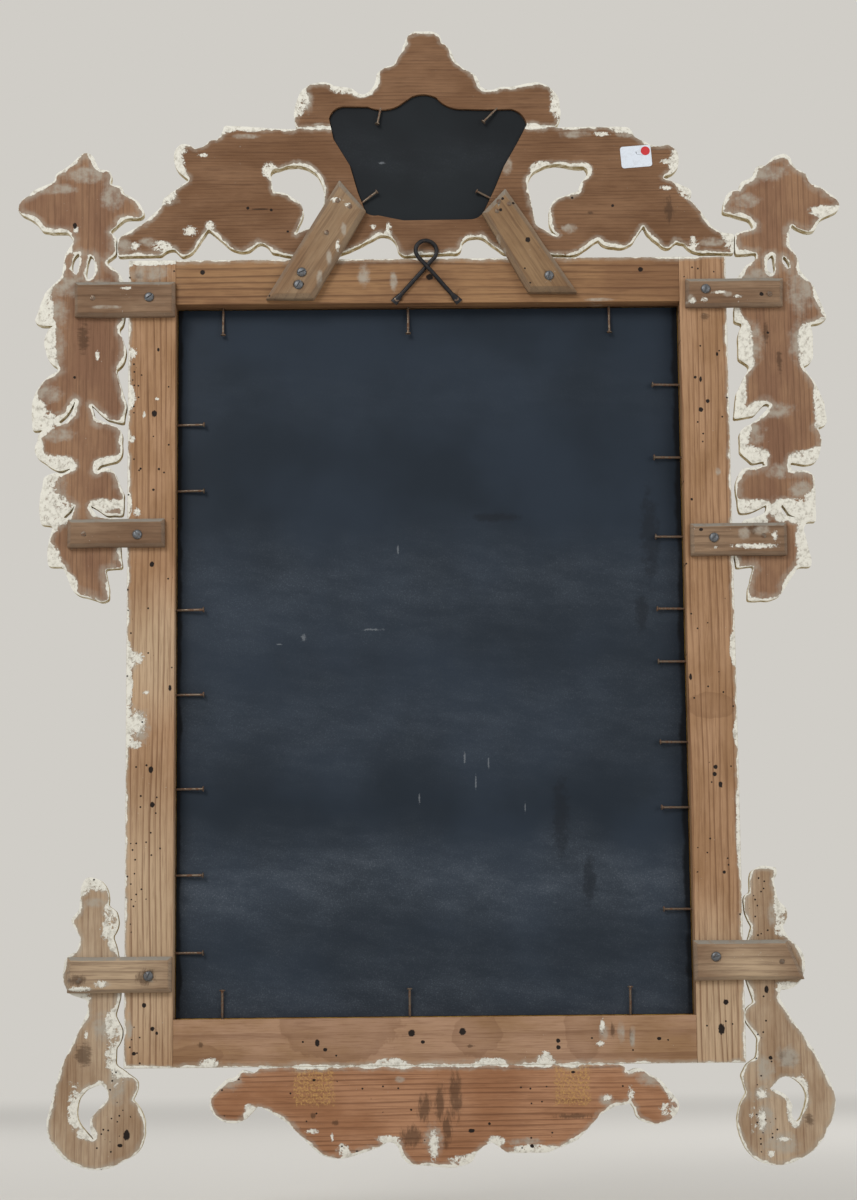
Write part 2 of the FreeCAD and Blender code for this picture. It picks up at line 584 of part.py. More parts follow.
def moulding_bar(length):
    """Moulding along X on the top edge of the frame, before its mitres."""
    corners = [
        at(-length / 2, -frame_depth - rise * moulding_depth, half_height - across * moulding_width)
        for across, rise, _ in moulding_shares
    ]
    edges = []
    for index, start in enumerate(corners):
        end = corners[(index + 1) % len(corners)]
        bow = moulding_shares[index][2]
        if bow:
            chord = end.sub(start)
            middle = start.add(end).multiply(1 / 2).add(at(0, chord.z, -chord.y).multiply(bow))
            edges.append(Part.Arc(start, middle, end).toShape())
        else:
            edges.append(Part.LineSegment(start, end).toShape())
    return Part.Face(Part.Wire(edges)).extrude(at(length, 0, 0))


def mitred_moulding(outer_half_length, outer_offset):
    """One side of the moulding, as a top side, cut to 45 degrees at both ends."""
    bar = moulding_bar(2 * outer_half_length)
    bar.translate(at(0, 0, outer_offset - half_height))
    inner = outer_half_length - moulding_width
    mitre = outline_face([
        (-outer_half_length, outer_offset, 0), (-inner, outer_offset - moulding_width, 0),
        (inner, outer_offset - moulding_width, 0), (outer_half_length, outer_offset, 0),
    ])
    return bar.common(slab(mitre, 0, -frame_depth - moulding_depth - overrun))


def mouldings():
    """Four mitred gilt mouldings whose inner lips hold the mirror plate in front."""
    pieces = {}
    sides = [
        ("gilt_moulding_top", half_width, half_height, 0),
        ("gilt_moulding_left", half_height, half_width, 90),
        ("gilt_moulding_bottom", half_width, half_height, 180),
        ("gilt_moulding_right", half_height, half_width, 270),
    ]
    for name, length, offset, turn in sides:
        piece = mitred_moulding(length, offset)
        piece.rotate(at(0, 0, 0), at(0, 1, 0), -turn)
        pieces[name] = one_solid(piece)
    return pieces


def scroll(x, z, radius, start, sweep):
    """Carved scroll: a ridged band in facets along an arc, standing on the board's front."""
    half = relief_depth * scroll_band_share / 2
    rise = relief_depth * scroll_rise_share
    count = math.ceil(sweep / scroll_facet_angle)
    rows = []
    for step in range(count + 1):
        angle = math.radians(start + sweep * step / count)
        across, up = math.cos(angle), math.sin(angle)
        rows.append([
            at(x + reach * across, -board_thickness - height, z + reach * up)
            for reach, height in ((radius - half, 0), (radius, rise), (radius + half, 0))])
    faces = [flat_face(rows[0]), flat_face(rows[-1])]
    for row, after in zip(rows, rows[1:]):
        for first, second in ((0, 1), (1, 2), (2, 0)):
            faces.append(flat_face([row[first], row[second], after[second], after[first]]))
    return solid_of(faces)


def leaf(x_from, z_from, x_to, z_to, width):
    """Carved leaf: four facets that rise to its ridge from the board's front."""
    root = at(x_from, -board_thickness, z_from)
    tip = at(x_to, -board_thickness, z_to)
    way = tip.sub(root)
    middle = root.add(at(way.x, 0, way.z).multiply(leaf_shoulder_share))
    side = at(way.z, 0, -way.x).normalize().multiply(width / 2)
    ring = [root, middle.add(side), tip, middle.sub(side)]
    top = middle.add(at(0, -relief_depth * leaf_rise_share, 0))
    faces = [flat_face(ring)]
    for start, end in zip(ring, ring[1:] + ring[:1]):
        faces.append(flat_face([start, end, top]))
    return solid_of(faces)


def flower(x, z, radius):
    """Carved flower: petals round a middle."""
    petals = []
    for count in range(petal_count):
        angle = 2 * math.pi * count / petal_count + math.pi / 2
        tip_x, tip_z = x + radius * math.cos(angle), z + radius * math.sin(angle)
        petals.append(leaf(x, z, tip_x, tip_z, radius * petal_width_share))
    return petals


def relief(place, scrolls, leaves, flowers, mirrored, side):
    """All carved forms of a board, from shares; a mirrored board has each on both halves."""
    forms = []
    for half in (1, -1) if mirrored else (1,):
        turned = half * side
        for x, z, radius, start, sweep in scrolls:
            centre_x, centre_z, _ = place((half * x, z, 0))
            begin = start if turned > 0 else half_turn - start - sweep
            forms.append(scroll(centre_x, centre_z, radius * relief_depth, begin, sweep))
        for x, z, radius in flowers:
            centre_x, centre_z, _ = place((half * x, z, 0))
            forms += flower(centre_x, centre_z, radius * relief_depth)
        for x_from, z_from, x_to, z_to, width in leaves:
            start_x, start_z, _ = place((half * x_from, z_from, 0))
            end_x, end_z, _ = place((half * x_to, z_to, 0))
            if half > 0 or x_from or x_to:
                forms.append(leaf(start_x, start_z, end_x, end_z, width * relief_depth))
    return forms


def carved(board, outline, forms):
    """Board with its relief, trimmed to the board's own outline."""
    room = slab(outline, -board_thickness, -board_thickness - relief_depth)
    return board.fuse([form.common(room) for form in forms])


def cartouche_band():
    """Raised moulding round the crest's mirror."""
    ring = shrunk_cartouche(-cartouche_band_width).cut(shrunk_cartouche(crest_lip_width)).Faces[0]
    return slab(ring, -board_thickness, -board_thickness - cartouche_band_height)


def crest_nails():
    """Four nails behind the crest's mirror plate, from the edge of its rebate inwards."""
    nails = []
    for foot_shares, head_shares in crest_nail_shares:
        foot_x, foot_z, _ = crest_place((*foot_shares, 0))
        head_x, head_z, _ = crest_place((*head_shares, 0))
        foot = at(foot_x, 0, foot_z)
        way = at(head_x, 0, head_z).sub(foot)
        showing = way.Length
        nails.append(plate_nail(foot, way.normalize(), showing, crest_nail_buried, -crest_plate_inset))
    return nails


def crest_boards(nails, fixings):
    """Lower board, two shoulders and the upright centre block, edge jointed."""
    outline = outline_face(placed(crest_place, crest_shares))
    whole = slab(outline, 0, -board_thickness)
    forms = relief(crest_place, crest_scroll_shares, crest_leaf_shares, crest_flower_shares, True, 1)
    for x, z in plume_leaf_shares:
        start_x, start_z, _ = crest_place((x / 2, plume_foot_share, 0))
        end_x, end_z, _ = crest_place((x, z, 0))
        forms.append(leaf(start_x, start_z, end_x, end_z, relief_depth * plume_leaf_width_share))
    whole = carved(whole, outline, forms).fuse(cartouche_band())
    sight = slab(shrunk_cartouche(crest_lip_width), overrun, -frame_depth - relief_depth)
    rebate = slab(shrunk_cartouche(0), overrun, -crest_plate_inset - crest_plate_thickness)
    whole = whole.cut(sight).cut(rebate)
    for shares in crescent_shares:
        hole = outline_face(placed(crest_place, shares))
        whole = whole.cut(slab(hole, overrun, -frame_depth - relief_depth))
    whole = whole.cut(Part.makeCompound(nails + fixings))
    joint = crest_foot + crest_joint_height
    right_edge = centre_block_offset + centre_block_width / 2
    left_edge = centre_block_offset - centre_block_width / 2
    top = crest_foot + crest_height + overrun
    shoulder_reach = crest_half_width * shoulder_reach_share
    front = -board_thickness - relief_depth - overrun
    regions = {
        "crest_right_shoulder": box(right_edge, shoulder_reach, front, overrun, joint, top),
        "crest_left_shoulder": box(-shoulder_reach, left_edge, front, overrun, joint, top),
        "crest_centre_block": box(left_edge, right_edge, front, overrun, joint, top),
    }
    pieces = {name: one_solid(whole.common(region)) for name, region in regions.items()}
    upper = box(-shoulder_reach, shoulder_reach, front, overrun, joint, top)
    pieces["crest_main_board"] = one_solid(whole.cut(upper))
    return pieces


def crest_mirror_plate():
    back = -crest_plate_inset
    return slab(shrunk_cartouche(crest_plate_clearance), back, back - crest_plate_thickness)


def side_board(place, side, shares, holes, forms_shares, fixings):
    """Garland or scroll board with its pierced slots and carved front."""
    outline = outline_face(placed(place, shares))
    scrolls, leaves, flowers = forms_shares
    board = carved(slab(outline, 0, -board_thickness), outline,
                   relief(place, scrolls, leaves, flowers, False, side))
    for hole in holes:
        pierced = outline_face(placed(place, hole))
        board = board.cut(slab(pierced, overrun, -frame_depth - relief_depth))
    return one_solid(board.cut(Part.makeCompound(fixings)))


def apron_board():
    outline = outline_face(placed(apron_place, apron_shares))
    forms = relief(apron_place, apron_scroll_shares, apron_leaf_shares, apron_flower_shares, True, 1)
    return one_solid(carved(slab(outline, 0, -board_thickness), outline, forms))


def bevelled(solid, back, bevel):
    """Bevels the straight edges round the back face of a bar."""
    middle = back / 2
    edges = [edge for edge in solid.Edges
             if all(vertex.Point.y > middle for vertex in edge.Vertexes)]
    return solid.makeChamfer(bevel, edges)


def braces(fixings):
    pieces = {}
    for name, (side, corners) in brace_shares.items():
        outline = outline_face([(*brace_place((side * x, z)), 0) for x, z in corners])
        bar = bevelled(slab(outline, 0, brace_thickness), brace_thickness, brace_bevel)
        pieces[name] = one_solid(bar.cut(fixings))
    return pieces


def battens(fixings):
    pieces = {}
    for name, (side, inner, outer_top, outer_foot, top, foot) in batten_shares.items():
        corners = [(inner, top), (outer_top, top), (outer_foot, foot), (inner, foot)]
        outline = outline_face([(*batten_place((side * x, z)), 0) for x, z in corners])
        bar = bevelled(slab(outline, 0, batten_thickness), batten_thickness, batten_bevel)
        pieces[name] = one_solid(bar.cut(fixings))
    return pieces


def frame_screws(places, seat):
    """Screws through a batten or brace into the frame."""
    return [screw(x, z, seat, seat + screw_in_frame) for x, z in places]


def board_nails(places, seat):
    """Nails through a batten or brace into a carved board."""
    return [fixing_nail(x, z, seat, seat + fixing_nail_in_board) for x, z in places]


def rod_corners(centre, outwards, along):
    """Corners of the forged rod's six-sided section, square to its way."""
    other = along.cross(outwards)
    corners = []
    for count in range(rod_sides):
        angle = 2 * math.pi * (count + 1 / 2) / rod_sides
        corners.append(centre.add(at(0, 0, 0).add(outwards).multiply(loop_rod_radius * math.cos(angle)))
                       .add(at(0, 0, 0).add(other).multiply(loop_rod_radius * math.sin(angle))))
    return corners


def rod(start, end):
    """Straight forged rod that runs on a little at both ends, into its neighbours."""
    way = end.sub(start).normalize()
    outwards = way.cross(at(0, 1, 0)).normalize()
    begin = start.sub(at(0, 0, 0).add(way).multiply(loop_rod_gap))
    length = end.sub(begin).Length + loop_rod_gap
    section = flat_face(rod_corners(begin, outwards, way))
    return section.extrude(at(0, 0, 0).add(way).multiply(length))


def loop_places():
    """Points of the hanging loop: its centre, tangent points, crossings and feet."""
    lean = math.asin(loop_radius / loop_crossing_drop)
    low = loop_rod_radius
    high = low + loop_rod_diameter + loop_rod_gap
    tilt = math.asin((high - low - loop_rod_gap) / (loop_radius * (1 + math.cos(lean))))
    centre = at(
        loop_centre_x, low + loop_rod_gap + loop_radius * math.sin(tilt), half_height + loop_rise)
    reach = loop_radius * math.cos(lean)
    drop = loop_radius * math.sin(lean)
    foot_reach = (loop_foot_drop - loop_crossing_drop) * math.tan(lean)
    across, back = math.cos(tilt), math.sin(tilt)
    legs = []
    for side, depth in ((-1, low), (1, high)):
        tangent = centre.add(at(side * reach * across, side * reach * back, -drop))
        crossing = at(centre.x, depth, centre.z - loop_crossing_drop)
        foot = at(centre.x - side * foot_reach, low, centre.z - loop_foot_drop)
        legs.append((tangent, crossing, foot))
    return centre, tilt, lean, legs


def hanging_loop():
    """Iron rod bent to an eye, its two legs crossed and flattened to nailed feet."""
    centre, tilt, lean, legs = loop_places()
    open_angle = math.degrees(math.pi / 2 - lean)
    sweep = 360 - 2 * open_angle
    count = math.ceil(sweep / eye_facet_angle)
    rows = []
    for step in range(count + 1):
        angle = math.radians(sweep * step / count)
        outwards = at(math.cos(angle), math.sin(angle), 0)
        along = at(-math.sin(angle), math.cos(angle), 0)
        rows.append(rod_corners(at(0, 0, 0).add(outwards).multiply(loop_radius), outwards, along))
    faces = [flat_face(rows[0]), flat_face(rows[-1])]
    for row, after in zip(rows, rows[1:]):
        for first in range(rod_sides):
            second = (first + 1) % rod_sides
            faces.append(flat_face([row[first], row[second], after[second], after[first]]))
    eye = solid_of(faces)
    eye.rotate(at(0, 0, 0), at(0, 0, 1), open_angle - 90)
    eye.rotate(at(0, 0, 0), at(1, 0, 0), 90)
    eye.rotate(at(0, 0, 0), at(0, 0, 1), math.degrees(tilt))
    eye.translate(centre)
    parts = []
    nails = []
    for tangent, crossing, foot in legs:
        way = foot.sub(crossing).normalize()
        flat_way = at(way.x, 0, way.z).normalize()
        parts += [rod(tangent, crossing), rod(crossing, foot)]
        pad_end = foot.add(at(flat_way.x, 0, flat_way.z).multiply(loop_pad_length))
        pad = outline_face([
            (foot.x + flat_way.z * loop_pad_width / 2, foot.z - flat_way.x * loop_pad_width / 2, 0),
            (foot.x - flat_way.z * loop_pad_width / 2, foot.z + flat_way.x * loop_pad_width / 2, 0),
            (pad_end.x - flat_way.z * loop_pad_width / 2,
             pad_end.z + flat_way.x * loop_pad_width / 2, 0),
            (pad_end.x + flat_way.z * loop_pad_width / 2,
             pad_end.z - flat_way.x * loop_pad_width / 2, 0),
        ])
        parts.append(slab(pad, 0, loop_pad_thickness))
        nail_at = foot.add(at(flat_way.x, 0, flat_way.z).multiply(loop_nail_reach))
        nails.append(fixing_nail(nail_at.x, nail_at.z, loop_pad_thickness,
                                 loop_pad_thickness + fixing_nail_in_board))
    whole = eye.fuse(parts).cut(Part.makeCompound(nails))
    return one_solid(whole), nails


def paper_label():
    sheet = box(-label_width / 2, label_width / 2, 0, label_thickness, -label_height / 2, label_height / 2)
    sheet.rotate(at(0, 0, 0), at(0, 1, 0), label_tilt)
    x, z, _ = crest_place((label_x_share, label_height_share, 0))
    sheet.translate(at(x, 0, z))
    return sheet


def label_dot():
    label_x, label_z, _ = crest_place((label_x_share, label_height_share, 0))
    x, z = label_x + dot_offset_x, label_z + dot_offset_z
    outer = label_thickness + dot_thickness
    return prism_between(ring_of_corners(dot_diameter / 2, x, label_thickness, z, dot_sides),
                         ring_of_corners(dot_diameter / 2, x, outer, z, dot_sides))


def group(solids):
    return Part.makeCompound(solids)


def build():
    """All pieces by name."""
    plate_nails = main_plate_nails()
    small_plate_nails = crest_nails()
    batten_screws = frame_screws(placed(batten_place, batten_screw_shares), batten_thickness)
    batten_nails = board_nails(placed(batten_place, batten_nail_shares), batten_thickness)
    brace_screws = frame_screws(placed(brace_place, brace_screw_shares), brace_thickness)
    brace_nails = board_nails(placed(brace_place, brace_nail_shares), brace_thickness)
    loop, loop_nails = hanging_loop()
    pieces = frame_pieces(plate_nails, batten_screws + brace_screws + loop_nails)
    pieces.update(mouldings())
    pieces["mirror_plate"] = mirror_plate()
    pieces["mirror_plate_nails"] = group(plate_nails)
    pieces.update(crest_boards(small_plate_nails, brace_nails))
    pieces["crest_mirror_plate"] = crest_mirror_plate()
    pieces["crest_plate_nails"] = group(small_plate_nails)
    pieces.update(braces(group(brace_screws + brace_nails)))
    pieces["brace_screws"] = group(brace_screws)
    pieces["brace_nails"] = group(brace_nails)
    garland_forms = ([], garland_leaf_shares, garland_flower_shares)
    pieces["right_garland"] = side_board(
        side_place(1, garland_width, right_garland_foot, garland_height), 1,
        right_garland_shares, right_garland_slot_shares, garland_forms, batten_nails)
    pieces["left_garland"] = side_board(
        side_place(-1, garland_width, left_garland_foot, garland_height), -1,
        left_garland_shares, left_garland_slot_shares, garland_forms, batten_nails)
    scroll_forms = (scroll_scroll_shares, scroll_leaf_shares, scroll_flower_shares)
    pieces["right_scroll"] = side_board(
        side_place(1, scroll_width, scroll_foot, scroll_height), 1,
        right_scroll_shares, [right_scroll_eye_shares], scroll_forms, batten_nails)
    pieces["left_scroll"] = side_board(
        side_place(-1, scroll_width, scroll_foot, scroll_height), -1,
        left_scroll_shares, [left_scroll_eye_shares], scroll_forms, batten_nails)
    pieces["apron_board"] = apron_board()
    pieces.update(battens(group(batten_screws + batten_nails)))
    pieces["batten_screws"] = group(batten_screws)
    pieces["batten_nails"] = group(batten_nails)
    pieces["hanging_loop"] = loop
    pieces["hanging_loop_nails"] = group(loop_nails)
    pieces["paper_label"] = paper_label()
    pieces["label_dot"] = label_dot()
    return pieces


origin = loop_places()[0]
for name, shape in build().items():
    shape.translate(at(-origin.x, -origin.y, -origin.z))
    solids = shape.Solids
    print(name, "solids", len(solids), "valid", shape.isValid(),
          "volume", round(sum(solid.Volume for solid in solids)))
    shape.exportStep("parts/" + name + ".step")
print("origin", origin)
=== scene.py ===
import math
import random
from functools import partial

import bmesh
import bpy
import numpy as np
from mathutils import Euler, Matrix, Vector, noise
from mathutils.bvhtree import BVHTree
from mathutils.geometry import delaunay_2d_cdt
from mathutils.kdtree import KDTree


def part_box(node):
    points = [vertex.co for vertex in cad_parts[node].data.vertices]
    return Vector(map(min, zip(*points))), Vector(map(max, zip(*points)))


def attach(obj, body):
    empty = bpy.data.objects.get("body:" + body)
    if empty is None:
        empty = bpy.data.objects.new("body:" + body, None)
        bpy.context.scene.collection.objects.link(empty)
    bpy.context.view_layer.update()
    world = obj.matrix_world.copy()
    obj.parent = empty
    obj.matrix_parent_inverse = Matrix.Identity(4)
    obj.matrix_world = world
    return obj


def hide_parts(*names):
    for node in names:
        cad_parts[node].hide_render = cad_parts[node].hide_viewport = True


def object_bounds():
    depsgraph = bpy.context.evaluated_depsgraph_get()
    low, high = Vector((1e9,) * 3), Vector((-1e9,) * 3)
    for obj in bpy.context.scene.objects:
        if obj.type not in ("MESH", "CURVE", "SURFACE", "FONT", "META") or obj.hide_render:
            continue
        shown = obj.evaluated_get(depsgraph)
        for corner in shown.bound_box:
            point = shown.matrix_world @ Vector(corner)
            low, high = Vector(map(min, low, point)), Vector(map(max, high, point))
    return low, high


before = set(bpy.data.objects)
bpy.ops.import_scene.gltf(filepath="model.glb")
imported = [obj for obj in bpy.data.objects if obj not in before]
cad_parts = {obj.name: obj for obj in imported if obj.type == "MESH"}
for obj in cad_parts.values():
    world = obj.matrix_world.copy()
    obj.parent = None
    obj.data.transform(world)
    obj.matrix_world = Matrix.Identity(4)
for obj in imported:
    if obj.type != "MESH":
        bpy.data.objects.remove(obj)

# Without a seed of its own, noise_vector follows the clock
noise.seed_set(1)
cad_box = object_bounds()

# The back of a carved giltwood mirror, hung on a wall. Places are written in
# millimetres from the middle of the frame's back: across to the right as seen
# from the front, up, and depth towards the wall.
mm = 0.001
plate_low, plate_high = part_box("mirror_plate")
middle_x = (plate_low.x + plate_high.x) / 2
middle_z = (plate_low.z + plate_high.z) / 2
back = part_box("frame_right_stile")[1].y
half_width = (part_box("frame_right_stile")[1].x - middle_x) / mm
half_height = (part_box("frame_right_stile")[1].z - middle_z) / mm


def place(across, depth, up):
    """Point in Blender's metres."""
    return Vector((middle_x + across * mm, back + depth * mm, middle_z + up * mm))


# Materials

def linear(hex_colour):
    """sRGB hex colour as Blender's linear one."""
    channels = [int(hex_colour[i:i + 2], 16) / 255 for i in (0, 2, 4)]
    return (*[c / 12.92 if c <= 0.04045 else ((c + 0.055) / 1.055) ** 2.4 for c in channels], 1.0)


main_setting = {"Math": "operation", "VectorMath": "operation", "VectorRotate": "rotation_type"}
usual_settings = {"MapRange": {"interpolation_type": "SMOOTHSTEP"}, "Mix": {"data_type": "RGBA"}}


def add_node(tree, kind, *inputs, result=0, **settings):
    """Adds a node and gives one of its outputs. A second word in kind is the node's main setting.
    Inputs are values or other nodes' outputs, in order or by name in one dictionary."""
    kind, _, choice = kind.partition(" ")
    new = tree.nodes.new(kind if "Node" in kind else "ShaderNode" + kind)
    if choice:
        setattr(new, main_setting[kind], choice)
    for key, value in {**usual_settings.get(kind, {}), **settings}.items():
        setattr(new, key, value)
    in_order = [socket for socket in new.inputs if socket.enabled]
    given = inputs[0] if inputs and isinstance(inputs[0], dict) else dict(enumerate(inputs))
    for key, value in given.items():
        socket = new.inputs[key] if isinstance(key, str) else in_order[key]
        if isinstance(value, bpy.types.NodeSocket):
            tree.links.new(value, socket)
        else:
            socket.default_value = value
    out = [socket for socket in new.outputs if socket.enabled]
    return new.outputs[result] if isinstance(result, str) else (out[result] if out else new)


def new_material(name):
    """New empty material, and the function that adds nodes to it."""
    material = bpy.data.materials.new(name)
    material.use_nodes = True
    material.node_tree.nodes.clear()
    return material, partial(add_node, material.node_tree)


def finish(add, colour, roughness, height, strength, height_mm, metallic=0.0, specular=0.5):
    """Joins a surface's colour, roughness and raised pattern to its shader."""
    bump = add("Bump", {"Height": height, "Strength": strength, "Distance": height_mm * mm})
    shader = add("BsdfPrincipled", {"Base Color": colour, "Roughness": roughness,
                                    "Normal": bump, "Metallic": metallic,
                                    "Specular IOR Level": specular})
    add("OutputMaterial", {"Surface": shader})


def in_millimetres(add):
    """Place on the piece in mm from the middle of the frame's back."""
    shifted = add("VectorMath SUBTRACT", add("TexCoord", result="Object"),
                  (middle_x, back, middle_z))
    return add("VectorMath SCALE", shifted, 1 / mm)


def grainwise(add, spot, stretch, angle=0.0, seed=0.0):
    """Place squeezed along the grain; the grain runs along X, turned by an angle from X to Z."""
    turned = add("VectorRotate Y_AXIS", spot, (0, 0, 0), angle)
    squeezed = add("VectorMath MULTIPLY", turned, (1 / stretch, 1, 1))
    return add("VectorMath ADD", squeezed, (seed, seed, seed))


def nearest(add, spot, patches, oblong=False):
    """How far a place lies from the nearest of some ovals or oblongs, 1 at their rims. Patches
    is text: each has its place across and up and its half sizes in mm, and commas part them."""
    found = None
    for patch in patches.split(","):
        across, up, half_across, half_up = map(float, patch.split())
        offset = add("VectorMath SUBTRACT", spot, (across, 0, up))
        shares = add("VectorMath MULTIPLY", offset, (1 / half_across, 0, 1 / half_up))
        if oblong:
            sides = add("SeparateXYZ", add("VectorMath ABSOLUTE", shares)).node.outputs
            reach = add("Math MAXIMUM", sides[0], sides[2])
        else:
            reach = add("VectorMath LENGTH", shares)
        found = reach if found is None else add("Math MINIMUM", found, reach)
    return found


def clouds(add, spot, size_mm, detail, roughness, low, high, least=0.0, most=1.0):
    """Soft patches where noise of a size rises from one height to another."""
    return add("MapRange", add("TexNoise", spot, 1 / size_mm, detail, roughness), low, high, least,
               most)


def ragged_patches(add, spot, patches, size_mm, detail, roughness, strength, oblong=False):
    """Distance from the nearest patch, torn by noise of a size."""
    return add("Math MULTIPLY_ADD", add("TexNoise", spot, 1 / size_mm, detail, roughness),
               strength, nearest(add, spot, patches, oblong))


def worm_holes(add, spot, spacing_mm, radius_mm, share, seed=0.0):
    """Round flight holes of woodworm, in a share of the cells of a spacing."""
    flat = add("VectorMath MULTIPLY_ADD", spot, (1, 0, 1), (seed, 0, seed))
    cells = {"Vector": flat, "Scale": 1 / spacing_mm, "Randomness": 0.9}
    distance = add("TexVoronoi", cells)
    chosen = add("Math LESS_THAN", distance.node.outputs["Color"], share)
    size = radius_mm / spacing_mm
    return add("Math MULTIPLY", chosen, add("MapRange", distance, size, 0.7 * size))


def outline_distance(add, spot):
    """Distance in mm to the board's outer outline."""
    return add("Attribute", result="Fac", attribute_name="edge_mm")


def frame_distance(add, spot):
    """Distance in mm to the outer edge of the frame."""
    offsets = add("VectorMath ABSOLUTE", spot)
    inward = add("VectorMath SUBTRACT", (half_width, 99.0, half_height), offsets)
    parts = add("SeparateXYZ", inward).node.outputs
    return add("Math MINIMUM", parts[0], parts[2])


upright = math.pi / 2
gesso_white, gesso_grey = linear("e9e6da"), linear("b3ada0")
chalk_film, dust_grey = linear("aba294"), linear("8f8a80")
hole_brown, stain_brown, bleached_wood = linear("1d130d"), linear("46301f"), linear("c9b091")
glue_amber = linear("c2965c")


